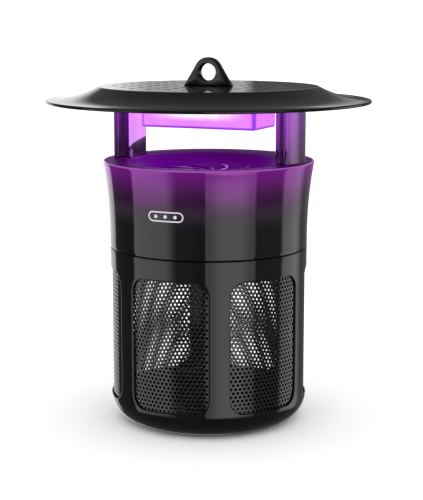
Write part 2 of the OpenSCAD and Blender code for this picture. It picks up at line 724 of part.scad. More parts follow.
module power_rocker() color([0.12, 0.12, 0.13])
    translate([switch_x, pivot_y, bay_mid]) rotate([0, 0, rocker_tilt]) {
        translate([0, 0, -rocker_h / 2]) linear_extrude(rocker_h)
            polygon([[-rocker_w / 2, -1.8], [rocker_w / 2, -1.8], [rocker_w / 2, 3.4],
                [0, 2.3], [-rocker_w / 2, 3.4]]);
        translate([0, 0, -rocker_h / 2 - 0.8]) cylinder(r = rocker_pin_r, h = rocker_h + 1.6, $fn = small_fn);
    }

module dc_jack() color([0.05, 0.05, 0.05]) difference() {
    union() {
        translate([jack_x, bay_y + seat + bezel_t, bay_mid]) rotate([90, 0, 0])
            cylinder(r = jack_flange_r, h = bezel_t);
        translate([jack_x, bay_y + bezel_t, bay_mid]) rotate([90, 0, 0]) cylinder(r = jack_r, h = jack_len);
    }
    translate([jack_x, bay_y + bezel_t + 1, bay_mid]) rotate([90, 0, 0])
        cylinder(r = jack_bore_r, h = jack_bore_depth);
}

module dc_jack_pin() color([0.8, 0.8, 0.82])
    translate([jack_x, bay_y + bezel_t - 1.5, bay_mid]) rotate([90, 0, 0])
        cylinder(r = jack_pin_r, h = jack_bore_depth - 1 - 1.5, $fn = small_fn);

module dc_jack_nut() color([0.7, 0.7, 0.72]) difference() {
    translate([jack_x, bay_y - bay_wall - seat, bay_mid]) rotate([90, 0, 0])
        cylinder(r = nut_r, h = nut_t, $fn = 6);
    translate([jack_x, bay_y, bay_mid]) rotate([90, 0, 0])
        cylinder(r = jack_r + 0.02, h = bay_wall + nut_t + 2);
}

module control_board() color([0.1, 0.35, 0.2]) difference() {
    block(-ctrl_w / 2, ctrl_w / 2, ctrl_y, ctrl_y + ctrl_t, bay_mid - ctrl_h / 2, bay_mid + ctrl_h / 2);
    for (s = [-1, 1]) translate([s * peg_x, ctrl_y + ctrl_t + 1, bay_mid]) rotate([90, 0, 0])
        cylinder(r = 1.1, h = ctrl_t + 2, $fn = small_fn);
}

module board_parts() color([0.15, 0.15, 0.18]) {
    translate([1.4, ctrl_y + ctrl_t, bay_mid - 4]) rotate([-90, 0, 0])
        cylinder(r = 2.4, h = 6, $fn = small_fn);
    block(-1, 4, ctrl_y + ctrl_t, ctrl_y + ctrl_t + 1.4, bay_mid + 1, bay_mid + 6);
    block(socket_x - 2.5, socket_x + 2.5, ctrl_y + ctrl_t, ctrl_y + ctrl_t + 4, bay_mid + 5.8, bay_mid + 8.8);
}

module board_screws() color([0.7, 0.7, 0.72])
    for (s = [-1, 1]) translate([s * peg_x, ctrl_y - seat, bay_mid]) rotate([-90, 0, 0])
        screw(ctrl_t + 4, r = 0.95, hr = 2, hh = 1.2);

// The lead: rings of points carried along the route, each ring square to the mean of its two directions
function unit(v) = v / norm(v);
function ring_at(i) = let (n = len(wire_path), a = wire_path[max(0, i - 1)], b = wire_path[min(n - 1, i + 1)],
    along = unit(b - a), side = unit(cross(along, [0.31, 0.95, 0.05])), up = cross(side, along))
    [for (k = [0:wire_sides - 1]) let (t = 360 * k / wire_sides)
        wire_path[i] + wire_r * (side * cos(t) + up * sin(t))];
module lamp_lead() color([0.1, 0.1, 0.1]) {
    n = len(wire_path);
    s = wire_sides;
    polyhedron(points = [for (i = [0:n - 1]) each ring_at(i)],
        faces = concat([[for (k = [0:s - 1]) k]], [[for (k = [s - 1:-1:0]) (n - 1) * s + k]],
            [for (i = [0:n - 2], k = [0:s - 1])
                [i * s + k, (i + 1) * s + k, (i + 1) * s + (k + 1) % s, i * s + (k + 1) % s]]));
}

// ---- basket ----

// Quarter-round line of the bowl, set in from the outside
function bowl_points(inset, steps = 6) = [for (i = [0:steps]) let (a = 90 * i / steps)
    [body_r - base_round + (base_round - inset) * sin(a), bowl_top - (base_round - inset) * cos(a)]];

module basket_bowl() color([0.05, 0.05, 0.055]) difference() {
    rotate_extrude() polygon(concat([[0, foot_drop]], bowl_points(0), reversed(bowl_points(basket_wall)),
        [[0, foot_drop + basket_wall]]));
    tube(foot_ring_in - seat, foot_ring_out + seat, foot_drop - 1, foot_drop + foot_groove);
}

module basket_shell() color([0.05, 0.05, 0.055]) {
    difference() {
        tube(basket_in, body_r, bowl_top, basket_top - neck_step);
        for (i = [0:window_n - 1]) rotate([0, 0, -90 + i * 360 / window_n]) translate([0, 0, window_z])
            window_cutter(2 * body_r * sin(window_a / 2), window_h, window_r, body_r * 0.6, body_r + 5);
    }
    for (i = [0:window_n - 1]) rotate([0, 0, -90 + (i + 0.5) * 360 / window_n]) {
        arc_wall(panel_in - fit - rail_t / 2, basket_in + basket_wall / 2, -rail_web_half, rail_web_half,
            window_z + 1, window_z + window_h);
        arc_wall(panel_in - fit - rail_t, panel_in - fit, -rail_half, rail_half,
            window_z + 1, window_z + window_h);
    }
}

module basket_neck() color([0.05, 0.05, 0.055])
    rotate_extrude() polygon([[basket_in, basket_top - neck_step], [body_r, basket_top - neck_step],
        [body_r, basket_top], [neck_r, basket_top], [neck_r, seal_z], [neck_r - seal_depth, seal_z],
        [neck_r - seal_depth, seal_z + seal_h], [neck_r, seal_z + seal_h], [neck_r, neck_top],
        [neck_in, neck_top], [neck_in, basket_top - 4]]);

module mesh_panel(i) color([0.13, 0.13, 0.14])
    rotate([0, 0, -90 + (i - 1) * 360 / window_n])
        arc_wall(panel_in, panel_out, -panel_half, panel_half,
            window_z - panel_lip_z, window_z + window_h + panel_lip_top);

module seal_ring() color([0.2, 0.2, 0.21])
    tube(neck_r - seal_depth + seat, body_in - slide_gap, seal_z + seat, seal_z + seal_h - seat);

module foot_ring() color([0.12, 0.12, 0.12])
    tube(foot_ring_in, foot_ring_out, 0, foot_drop + foot_groove - 0.05);

cap_shell();
hanging_loop();
loop_screws();
cap_tray();
cap_screws();
led_cover();
led_cover_screws();
led_board();
uv_leds();
led_board_screws();
post_right_core();
post_right_cover();
post_left_core();
post_left_cover();
post_top_screws();
post_foot_screws();
upper_housing();
intake_funnel();
funnel_screws();
guide_vanes();
fan_frame();
fan_stator();
fan_bush();
fan_rotor();
fan_magnet();
fan_shaft();
fan_screws();
baffle_plate();
rear_panel();
switch_body();
power_rocker();
dc_jack();
dc_jack_pin();
dc_jack_nut();
control_board();
board_parts();
board_screws();
lamp_lead();
basket_shell();
basket_bowl();
basket_neck();
mesh_panel(1);  // mesh_panel_1
mesh_panel(2);  // mesh_panel_2
mesh_panel(3);  // mesh_panel_3
mesh_panel(4);  // mesh_panel_4
mesh_panel(5);  // mesh_panel_5
mesh_panel(6);  // mesh_panel_6
seal_ring();
foot_ring();
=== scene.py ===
"""Fan-type insect trap: glossy shells, perforated windows and a violet lamp, round the packed frame."""

import bpy
import numpy as np
from mathutils import Euler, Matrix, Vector
from mathutils.geometry import delaunay_2d_cdt


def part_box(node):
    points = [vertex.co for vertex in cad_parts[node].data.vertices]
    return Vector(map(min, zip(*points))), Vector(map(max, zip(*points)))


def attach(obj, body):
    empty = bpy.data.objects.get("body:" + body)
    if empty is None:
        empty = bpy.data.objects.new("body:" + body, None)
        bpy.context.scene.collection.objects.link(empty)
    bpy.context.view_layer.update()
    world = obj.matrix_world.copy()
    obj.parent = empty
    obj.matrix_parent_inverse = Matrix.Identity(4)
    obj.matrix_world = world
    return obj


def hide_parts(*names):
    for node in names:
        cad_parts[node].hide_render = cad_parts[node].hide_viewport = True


bl_info = {
    "name": "Insect trap",
    "version": (1, 0, 0),
    "blender": (4, 5, 0),
    "location": "View3D > Sidebar > Insect trap",
    "description": "Builds the shells, windows, lamp and studio of a fan-type insect trap",
    "category": "Add Mesh",
}

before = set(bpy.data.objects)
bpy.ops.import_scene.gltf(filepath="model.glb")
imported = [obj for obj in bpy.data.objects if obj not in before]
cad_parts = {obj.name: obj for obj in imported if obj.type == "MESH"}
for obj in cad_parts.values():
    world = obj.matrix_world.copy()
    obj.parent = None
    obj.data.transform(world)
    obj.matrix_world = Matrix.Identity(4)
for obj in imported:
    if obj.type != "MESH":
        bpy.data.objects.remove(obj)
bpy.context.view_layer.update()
MM = 0.001
TURN = 2 * np.pi


def low(node):
    """Lowest corner of a CAD node, in millimetres."""
    return np.array(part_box(node)[0]) / MM


def high(node):
    """Highest corner of a CAD node, in millimetres."""
    return np.array(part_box(node)[1]) / MM


BODY_R = high("basket_shell")[0]
RING_R = high("upper_housing")[0]
RING_Z = high("upper_housing")[2]
SEAM_Z = low("upper_housing")[2]
BRIM_R = high("cap_shell")[0]
BRIM_Z = low("cap_shell")[2]
TOP_Z = high("cap_shell")[2]
TRAY_Z = low("cap_tray")[2]
LOOP_TOP = high("hanging_loop")[2]
POST_OUT = high("post_right_cover")[0]
PANEL_OUT = -low("mesh_panel_1")[1]
PANEL_LOW = low("mesh_panel_1")[2]
PANEL_HIGH = high("mesh_panel_1")[2]
LAMP_Z = low("led_cover")[2]
LAMP_TOP = high("led_cover")[2]
BAY = np.array([low("rear_panel"), high("rear_panel")])
FAN_TOP = low("intake_funnel")[2]


# ---- properties: sizes and colours that a user would change ----


def length(name, default, text):
    """A length property, given in millimetres and kept in metres."""
    return bpy.props.FloatProperty(
        name=name, description=text, default=default * MM, subtype="DISTANCE", unit="LENGTH",
        precision=5,
    )


def plain(name, default, text):
    """A number property."""
    return bpy.props.FloatProperty(name=name, description=text, default=default)


def count(name, default, text):
    """A whole-number property."""
    return bpy.props.IntProperty(name=name, description=text, default=default, min=1)


def colour(name, default, text):
    """A colour property."""
    return bpy.props.FloatVectorProperty(
        name=name, description=text, default=default, size=3, subtype="COLOR",
    )


class TRAP_PG_canopy(bpy.types.PropertyGroup):
    """Sizes of the canopy and its hanging loop."""

    wall: length("Wall", 2.2, "Thickness of the canopy")
    skirt_width: length("Brim width", 37.6, "Width of the sloping brim")
    skirt_power: plain("Brim power", 2.14, "How sharply the brim flattens out")
    shoulder: length("Shoulder", 0.9, "Radius of the edge round the flat top")
    dimple_pitch: length("Dimple pitch", 13.5, "Distance between dimples")
    dimple_radius: length("Dimple radius", 2.5, "Radius of a dimple's edge")
    dimple_depth: length("Dimple depth", 0.9, "Depth of a dimple")
    dimple_reach: length("Dimple reach", 67.4, "Radius that the dimples stay within")
    eye_radius: length("Eye radius", 6.15, "Radius of the eye in the loop")
    eye_rim: length("Eye rim", 4.25, "Width of the material round the eye")
    loop_width: length("Loop width", 37.0, "Width of the loop's foot")
    loop_thick: length("Loop thickness", 4.4, "Thickness of the loop")
    loop_edge: length("Loop edge", 0.7, "Radius of the loop's edges")


class TRAP_PG_body(bpy.types.PropertyGroup):
    """Sizes of the fan housing, the posts and the basket."""

    wall: length("Housing wall", 2.2, "Wall of the fan housing")
    flare_height: length("Flare height", 59.0, "Height over which the housing flares")
    flare_power: plain("Flare power", 2.3, "How sharply the flare opens")
    ring_flat: length("Ring flat", 12.3, "Width of the flat top of the intake ring")
    pad_angle: plain("Pad angle", 15.6, "Half angle of the pads under the posts, in degrees")
    pad_inner: length("Pad inner radius", 56.7, "Inner radius of the pads under the posts")
    throat: length("Throat", 45.0, "Radius of the funnel's throat")
    bell_rise: length("Bell rise", 16.6, "Height of the funnel's bell")
    post_angle: plain("Post angle", 13.6, "Half angle of a post, in degrees")
    post_inner: length("Post inner radius", 58.2, "Radius of a post's inner face")
    post_joint: length("Post joint", 66.1, "Radius of the joint between a post's core and cover")
    post_foot: length("Post foot", 1.1, "Radius of the fillet at a post's foot")
    post_edge: length("Post edge", 0.7, "Radius of a post's upright edges")
    groove_at: length("Groove place", 63.4, "Distance from the axis of the grooves down a post's sides")
    groove_half: length("Groove half width", 1.6, "Half of the width of those grooves")
    groove_deep: length("Groove depth", 0.9, "Depth of those grooves")
    ring_lip: length("Ring lip", 1.1, "Radius of the outer edge of the intake ring")
    edge: length("Edge", 0.45, "Radius of the small edges")
    mark_height: length("Emblem height", 157.0, "Height of the printed emblem above the floor")
    mark_half: length("Emblem half length", 9.5, "Half of the straight part of the emblem's bar")
    mark_radius: length("Emblem radius", 3.1, "Radius of the ends of the emblem's bar")
    mark_line: length("Emblem line", 0.9, "Width of the emblem's line")
    basket_wall: length("Basket wall", 1.2, "Wall of the basket")
    base_round: length("Base round", 17.5, "Radius of the basket's bottom edge")
    neck: length("Neck radius", 68.2, "Radius of the neck that enters the housing")


class TRAP_PG_window(bpy.types.PropertyGroup):
    """Sizes of the basket's windows and their perforated panels."""

    number: count("Windows", 6, "Number of windows")
    width: length("Width", 57.5, "Width of a window, along the chord")
    corner: length("Corner", 11.5, "Radius of the window corners")
    lip: length("Lip", 0.75, "Radius of the edge round a window")
    sill: length("Sill", 0.7, "How far the panel reaches below the window")
    lintel: length("Lintel", 3.0, "How far the panel reaches above the window")
    panel_half: plain("Panel angle", 27.1, "Half angle of a panel, in degrees")
    panel_thick: length("Panel thickness", 1.0, "Thickness of the perforated sheet")
    hole_pitch: length("Hole pitch", 3.25, "Distance between perforations in a row")
    hole_radius: length("Hole radius", 1.12, "Radius of a perforation")


class TRAP_PG_lamp(bpy.types.PropertyGroup):
    """Sizes and colours of the lamp."""

    wall: length("Wall", 2.4, "Wall of the lamp cover")
    half_width: length("Half width", 44.0, "Half of the cover's width")
    half_depth: length("Half depth", 20.0, "Half of the cover's depth")
    corner: length("Corner", 1.6, "Radius of the cover's edges")
    magenta: colour("Magenta", (0.80, 0.17, 1.0), "Colour of the lit cover")
    violet: colour("Violet", (0.25, 0.02, 0.72), "Colour of the cover's edges")
    # spill, reach and bright reach set the painted lamp light on the housing
    spill: colour("Spill", (0.135, 0.004, 0.175), "Violet light on the housing under the lamp")
    reach: length("Glow reach", 46.0, "How far down the housing the violet shows")
    bright_reach: length("Bright reach", 28.0, "How far down the housing the bright violet shows")
    light: colour("Light", (0.62, 0.03, 0.85), "Colour of the light that the lamp casts")
    power: plain("Power", 0.22, "Power of that light, in watts")
    light_width: length("Light width", 80.0, "Width of the lamp's shining face")
    light_depth: length("Light depth", 36.0, "Depth of the lamp's shining face")


class TRAP_PG_stage(bpy.types.PropertyGroup):
    """Camera and studio."""

    azimuth: plain("Azimuth", 24.05, "Camera's angle round the trap, in degrees")
    distance: length("Distance", 973.8, "Camera's distance from the axis")
    height: length("Height", 296.2, "Camera's height above the floor")
    pitch: plain("Pitch", 10.107, "Camera's downward tilt, in degrees")
    lens: plain("Lens", 97.83, "Focal length in millimetres")
    shift: plain("Shift", 0.0059, "Sideways shift of the lens")


# ---- surfaces: grids of points in millimetres, and the quads between them ----

SHARP, SHARP_SHELL = 32.0, 40.0

def sheet_quads(rows, columns, close_rows=False, close_columns=False):
    """Corner numbers of the quads of a grid of points."""
    i = np.arange(rows if close_rows else rows - 1)[:, None]
    j = np.arange(columns if close_columns else columns - 1)[None, :]
    i2, j2 = (i + 1) % rows, (j + 1) % columns
    return np.stack(
        [i * columns + j, i2 * columns + j, i2 * columns + j2, i * columns + j2], -1,
    ).reshape(-1, 4)


def grid(points, close_rows=False, close_columns=False):
    """Points on a grid (rows, columns, 3) as a surface: (points, quads)."""
    rows, columns = points.shape[:2]
    return points.reshape(-1, 3), sheet_quads(rows, columns, close_rows, close_columns)


def joined(*surfaces):
    """Several surfaces as one."""
    offsets = np.cumsum([0] + [len(points) for points, _ in surfaces[:-1]])
    return (
        np.concatenate([points for points, _ in surfaces]),
        np.concatenate([quads + shift for (_, quads), shift in zip(surfaces, offsets)]),
    )


def turned(surface, angle):
    """A surface turned about the Z axis by an angle in radians."""
    points, quads = surface
    c, s = np.cos(angle), np.sin(angle)
    return points @ np.array([[c, s, 0], [-s, c, 0], [0, 0, 1]]), quads


def flipped(surface):
    """A surface that faces the other way."""
    return surface[0], surface[1][:, ::-1]


def solid_sheet(front, back):
    """A closed solid from a surface and the same surface moved: free edges are joined by walls."""
    points, quads = front
    edges = np.stack([quads, np.roll(quads, -1, axis=1)], -1).reshape(-1, 2)
    edges = edges[edges[:, 0] != edges[:, 1]]
    keys = np.sort(edges, axis=1)
    _, place, number = np.unique(keys, axis=0, return_inverse=True, return_counts=True)
    free = edges[number[place.reshape(-1)] == 1]
    n = len(points)
    walls = np.stack([free[:, 1], free[:, 0], free[:, 0] + n, free[:, 1] + n], -1)
    return np.concatenate([points, back]), np.concatenate([quads, quads[:, ::-1] + n, walls])


def welded(points, quads):
    """Merges points closer than a tenth of a micron; a quad that loses a corner becomes a triangle."""
    _, first, place = np.unique(
        np.round(points * 1e4).astype(np.int64), axis=0, return_index=True, return_inverse=True,
    )
    quads = place.reshape(-1)[quads]
    gone = quads == np.roll(quads, -1, axis=1)
    number = gone.sum(1)
    return points[first], quads[number == 0], quads[number == 1][~gone[number == 1]].reshape(-1, 3)


def volume(points, quads, triangles):
    """Signed volume inside a closed surface: a sixth of the sum of the triple products of its triangles."""
    t = np.concatenate([quads[:, [0, 1, 2]], quads[:, [0, 2, 3]], triangles])
    a, b, c = points[t[:, 0]], points[t[:, 1]], points[t[:, 2]]
    return np.einsum("ij,ij->i", a, np.cross(b, c)).sum() / 6


def make_mesh(name, surface, sharp):
    """A mesh from a surface, with its faces outward and its edges smooth up to an angle in degrees."""
    points, quads, triangles = welded(*surface)
    if volume(points, quads, triangles) < 0:
        quads, triangles = quads[:, ::-1], triangles[:, ::-1]
    mesh = bpy.data.meshes.new(name)
    mesh.vertices.add(len(points))
    mesh.vertices.foreach_set("co", (points * MM).astype(np.float32).ravel())
    corners = np.concatenate([quads.ravel(), triangles.ravel()])
    mesh.loops.add(len(corners))
    mesh.loops.foreach_set("vertex_index", corners.astype(np.int32))
    sizes = np.concatenate([np.full(len(quads), 4), np.full(len(triangles), 3)])
    mesh.polygons.add(len(sizes))
    mesh.polygons.foreach_set("loop_start", (np.cumsum(sizes) - sizes).astype(np.int32))
    mesh.update(calc_edges=True)
    if mesh.validate():
        raise ValueError(name + " has faces that don't hold together")
    mesh.shade_smooth()
    mesh.set_sharp_from_angle(angle=np.radians(sharp))
    return mesh


def make_piece(name, surface, material, body, nodes=(), sharp=SHARP):
    """A finished piece that rides on a body and may stand for CAD nodes."""
    piece = bpy.data.objects.new(name, make_mesh(name, surface, sharp))
    bpy.context.scene.collection.objects.link(piece)
    piece.data.materials.append(material)
    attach(piece, body)
    if nodes:
        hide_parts(*nodes)
    return piece


def arc(centre, radius, start, end, steps=5):
    """Points on an arc, with angles in degrees."""
    t = np.radians(np.linspace(start, end, steps + 1))
    return np.stack([centre[0] + radius * np.cos(t), centre[1] + radius * np.sin(t)], -1)


def rounded_path(points, radii, steps=4):
    """Points along a closed outline whose corners are arcs: each arc touches both sides of its corner."""
    points = np.asarray(points, float)
    out = []
    for k, radius in enumerate(radii):
        before, here, after = points[k - 1], points[k], points[(k + 1) % len(points)]
        if radius <= 0:
            out.append(here[None])
            continue
        a, b = before - here, after - here
        a, b = a / np.linalg.norm(a), b / np.linalg.norm(b)
        half = np.arccos(np.clip(a @ b, -1, 1)) / 2
        centre = here + (a + b) / np.linalg.norm(a + b) * radius / np.sin(half)
        start = here + a * radius / np.tan(half) - centre
        end = here + b * radius / np.tan(half) - centre
        f = np.linspace(0, 1, steps + 1)[:, None]
        blend = start * (1 - f) + end * f
        out.append(centre + blend / np.linalg.norm(blend, axis=1)[:, None] * radius)
    return np.concatenate(out)


def revolve(profile, angles, closed=True):
    """A profile of (radius, height) carried round the Z axis through the given angles, all the way round."""
    radius, z = profile[:, 0][:, None], profile[:, 1][:, None]
    points = np.stack([radius * np.cos(angles), radius * np.sin(angles), z + 0 * angles], -1)
    return grid(points, close_rows=closed, close_columns=True)


def round_angles(number=240):
    """Angles all the way round, evenly spaced."""
    return np.arange(number) * TURN / number


def spaced(path, number):
    """Points at equal steps of length along an open path, without the last."""
    steps = np.r_[0, np.cumsum(np.linalg.norm(np.diff(path, axis=0), axis=1))]
    s = np.linspace(0, steps[-1], number + 1)[:-1]
    return np.stack([np.interp(s, steps, path[:, 0]), np.interp(s, steps, path[:, 1])], -1)


def four_sides(half_width, half_height, corner, counts):
    """A rectangle with rounded corners as four runs of points, each from one corner's middle to the next's.

    Points are spaced by length, so rectangles of different sizes match point for point.
    """
    runs = []
    for side, number in enumerate(counts):
        a, b = (half_width, half_height) if side % 2 == 0 else (half_height, half_width)
        t = np.linspace(np.pi / 4, 0, 7)
        right = np.stack([a - corner + corner * np.sin(t), corner - b - corner * np.cos(t)], -1)
        path = np.concatenate([right * [-1, 1], right[::-1]])
        turn = side * np.pi / 2
        c, s = np.cos(turn), np.sin(turn)
        runs.append(spaced(path, number) @ np.array([[c, s], [-s, c]]))
    return np.concatenate(runs)


def window_sector(half, z0, z1, hole, lip, outer, inner, counts):
    """Part of a round wall with a rounded window through it, about angle 0.

    On a flat map of arc length against height, rings run from the sector's border to the window's outline,
    round its lip, through the wall, and back to the border on the inside. outer and inner are the wall's
    radii and may be functions of height. hole is (half width, low, high, corner).
    """
    half_width, low_z, high_z, corner = hole
    mid_z, half_height = (low_z + high_z) / 2, (high_z - low_z) / 2
    reach = outer(mid_z)
    edge = four_sides(half * reach, (z1 - z0) / 2, 0.0, counts) + [0, (z0 + z1) / 2]

    def outline(grow):
        """The window's outline, grown by a distance."""
        return four_sides(half_width + grow, half_height + grow, corner + grow, counts) + [0, mid_z]

    quarter = np.radians(np.linspace(0, 90, 5))
    thick = outer(mid_z) - inner(mid_z)
    rings = [(edge * (1 - f) + outline(lip) * f, 0.0) for f in np.linspace(0, 1, 7)[:-1]]
    rings += [(outline(lip * (1 - np.sin(a))), lip * (1 - np.cos(a))) for a in quarter]
    rings += [(outline(lip * (1 - np.sin(a))), thick - lip * (1 - np.cos(a))) for a in quarter[::-1]]
    rings += [(outline(lip) * (1 - f) + edge * f, thick) for f in np.linspace(0, 1, 5)[1:]]
    flat = np.array([ring for ring, _ in rings])
    share = np.array([depth for _, depth in rings])[:, None] / thick
    angle, z = flat[..., 0] / reach, flat[..., 1]
    radius = outer(z) * (1 - share) + inner(z) * share
    return grid(np.stack([radius * np.cos(angle), radius * np.sin(angle), z], -1), close_columns=True)


# ---- shader tree ----


class Socket:
    """A number or colour in a shader tree that can be used in plain arithmetic."""

    def __init__(self, tree, output):
        """Keeps the tree and one output of a node in it."""
        self.tree, self.output = tree, output

    def _math(self, kind, *others):
        """A Math node of a kind on this and the others, in order."""
        return self.tree.node(
            "ShaderNodeMath", "Value", dict(enumerate((self, *others))), operation=kind,
        )

    # arithmetic with another socket or a plain number adds a Math node

    def __add__(self, other):
        return self._math("ADD", other)

    def __radd__(self, other):
        return self._math("ADD", other)

    def __sub__(self, other):
        return self._math("SUBTRACT", other)

    def __rsub__(self, other):
        return self.tree.node("ShaderNodeMath", "Value", {0: other, 1: self}, operation="SUBTRACT")

    def __mul__(self, other):
        return self._math("MULTIPLY", other)

    def __rmul__(self, other):
        return self._math("MULTIPLY", other)

    def __truediv__(self, other):
        return self._math("DIVIDE", other)

    def __pow__(self, other):
        return self._math("POWER", other)

    def __abs__(self):
        return self._math("ABSOLUTE")

    def high(self, other):
        """The larger of this and another."""
        return self._math("MAXIMUM", other)

    def low(self, other):
        """The smaller of this and another."""
        return self._math("MINIMUM", other)

    def wave(self):
        """The sine."""
        return self._math("SINE")

    def ramp(self, start, end):
        """A smooth step from 0 at start to 1 at end."""
        return self.tree.node(
            "ShaderNodeMapRange", "Result", {"Value": self, "From Min": start, "From Max": end},
            interpolation_type="SMOOTHSTEP",
        )


class Tree:
    """A shader tree and the one method that makes its nodes."""

    def __init__(self, owner):
        """Takes over the tree of a material or a world, and empties it."""
        owner.use_nodes = True
        self.tree = owner.node_tree
        self.tree.nodes.clear()
        self._place = None

    def node(self, kind, output, inputs=None, **settings):
        """Makes a node, sets it and joins its inputs, and gives back one output."""
        made = self.tree.nodes.new(kind)
        for key, value in settings.items():
            setattr(made, key, value)
        for key, value in (inputs or {}).items():
            if isinstance(value, Socket):
                self.tree.links.new(value.output, made.inputs[key])
            elif value is not None:
                target = made.inputs[key]
                if target.type == "RGBA" and len(value) == 3:
                    value = (*value, 1.0)
                target.default_value = value
        return Socket(self, made.outputs[output]) if output is not None else made

    def axes(self):
        """The point's place in metres, as three numbers."""
        if self._place is None:
            place = self.node("ShaderNodeTexCoord", "Object")
            self._place = [self.node("ShaderNodeSeparateXYZ", axis, {0: place}) for axis in "XYZ"]
            self.place = place
        return self._place

    def noise(self, scale, detail=2.0, rough=0.5):
        """Noise between 0 and 1 with a given scale per metre."""
        self.axes()
        return self.node(
            "ShaderNodeTexNoise", "Fac",
            {"Vector": self.place, "Scale": scale, "Detail": detail, "Roughness": rough},
        )

    def mix(self, share, first, second):
        """A colour between two."""
        return self.node("ShaderNodeMix", 2, {0: share, 6: first, 7: second}, data_type="RGBA")

    def tint(self, colour, strength):
        """A colour times a number."""
        return self.mix(strength, (0.0, 0.0, 0.0), colour)

    def bump(self, height, depth):
        """A normal bent by a height, with the depth in metres."""
        return self.node(
            "ShaderNodeBump", "Normal", {"Height": height, "Distance": depth, "Strength": 1.0},
        )

    def surface(self, **inputs):
        """The Principled shader, joined to the output."""
        names = {k.replace("_", " ").title().replace("Ior", "IOR"): v for k, v in inputs.items()}
        shader = self.node("ShaderNodeBsdfPrincipled", "BSDF", names)
        self.node("ShaderNodeOutputMaterial", None, {"Surface": shader})
        return shader


def material(name):
    """A new material and its tree."""
    made = bpy.data.materials.new("look_" + name)
    return made, Tree(made)


# ---- materials ----

PIANO_BLACK = (0.0022, 0.0022, 0.0025)
DUST_ON_BLACK = (0.006, 0.006, 0.0065)
PRINT_WHITE = (0.62, 0.60, 0.64)
INNER_BLACK = (0.012, 0.001, 0.02)
# violet that the inner materials paint in as lamp light
INNER_LAMP_VIOLET = (0.052, 0.001, 0.082)


def wear(tree, base, spread):
    """Roughness with broad smears and fine scuffs."""
    smear = tree.noise(22.0, 3.0).ramp(0.35, 0.75)
    scuff = tree.noise(900.0, 4.0, 0.7).ramp(0.62, 0.78)
    return base + smear * spread + scuff * (spread * 0.8)


def lamp_share(tree, start, end):
    """How much painted lamp light reaches a height: none at start and all at end, in metres."""
    z = tree.axes()[2]
    edge = tree.noise(14.0, 1.0) * 0.004 - 0.002
    return (z + edge).ramp(start, end)


def gloss_black():
    """Piano-black plastic with a faint moulding ripple and light scuffs."""
    made, tree = material("gloss_black")
    speck = tree.noise(2600.0, 2.0).ramp(0.66, 0.8)
    ripple = tree.noise(160.0, 1.0)
    tree.surface(
        base_color=tree.mix(speck, PIANO_BLACK, DUST_ON_BLACK),
        roughness=wear(tree, 0.03, 0.03), normal=tree.bump(ripple, 0.000006),
        specular_ior_level=0.5, ior=1.5,
    )
    return made


def printed_mark(tree, body):
    """A plain printed emblem on the front: the outline of a long rounded bar with three dots inside.

    The bar is every point at one distance from a straight line, and each dot is a disc on that line.
    """
    x, y, z = tree.axes()
    half, radius, line = body.mark_half, body.mark_radius, body.mark_line
    angle = tree.node("ShaderNodeMath", "Value", {0: x, 1: y * -1.0}, operation="ARCTAN2")
    along = angle * (BODY_R * MM)
    over = (abs(along) - half).high(0.0)
    up = z - body.mark_height
    reach = (over * over + up * up) ** 0.5
    bar = 1.0 - abs(reach - radius).ramp(line * 0.4, line * 0.6)
    cell = abs(abs(along) - half * 0.75)
    dot = (cell.low(abs(along)) * cell.low(abs(along)) + up * up) ** 0.5
    return bar.high(1.0 - dot.ramp(radius * 0.36, radius * 0.42))


def housing_black(body, lamp):
    """Piano-black plastic with painted violet lamp light and a painted violet reflection tint that grow
    towards the intake ring, a painted bright line on the ring's lip, and a printed emblem in front.
    """
    made, tree = material("housing_black")
    x, y, z = tree.axes()
    ring = RING_Z * MM
    # painted lamp light: violet that grows up the housing towards the ring stands in for the lamp's glow
    painted_glow_share = lamp_share(tree, ring - lamp.reach, ring - 0.006)
    painted_bright_share = lamp_share(tree, ring - lamp.bright_reach, ring + 0.003)
    radius = (x * x + y * y) ** 0.5
    inside = 1.0 - radius.ramp((RING_R - 1.5) * MM, (RING_R - 0.9) * MM)
    # masks for painted lamp light on the ring's flat top and a painted bright line along its outer lip
    flat = z.ramp(ring - 0.0004, ring - 0.0001) * inside
    lip = z.ramp(ring - 0.0011, ring - 0.0004) * radius.ramp((RING_R - 1.4) * MM, (RING_R - 0.8) * MM)
    mark = printed_mark(tree, body)
    # painted reflection tint: the base turns grey, then violet and metallic, towards the ring, so that
    # reflections take the lamp's colour
    painted_tint_share = painted_glow_share.ramp(0.0, 0.7)
    painted_tint = tree.mix(painted_glow_share, (0.040, 0.040, 0.041), (0.105, 0.038, 0.120))
    tint = tree.mix(painted_tint_share, PIANO_BLACK, painted_tint)
    tint = tree.mix(flat, tint, (0.05, 0.002, 0.085))
    # painted glow: emission in the lamp's violet over the upper housing, the ring's flat top and its lip
    glow = tree.mix(painted_bright_share ** 1.6, tree.tint((0.020, 0.004, 0.021), painted_glow_share), tuple(lamp.spill))
    glow = tree.mix(flat, glow, (0.030, 0.0, 0.045))
    glow = tree.mix(lip, glow, (0.40, 0.10, 0.48))
    tree.surface(
        base_color=tree.mix(mark, tint, PRINT_WHITE),
        metallic=painted_tint_share * (1.0 - mark) * (1.0 - flat * 0.5),
        roughness=wear(tree, 0.04, 0.035) + flat * 0.42 + mark * 0.4,
        normal=tree.bump(tree.noise(160.0, 1.0), 0.000008),
        emission_color=glow, emission_strength=1.0,
    )
    return made


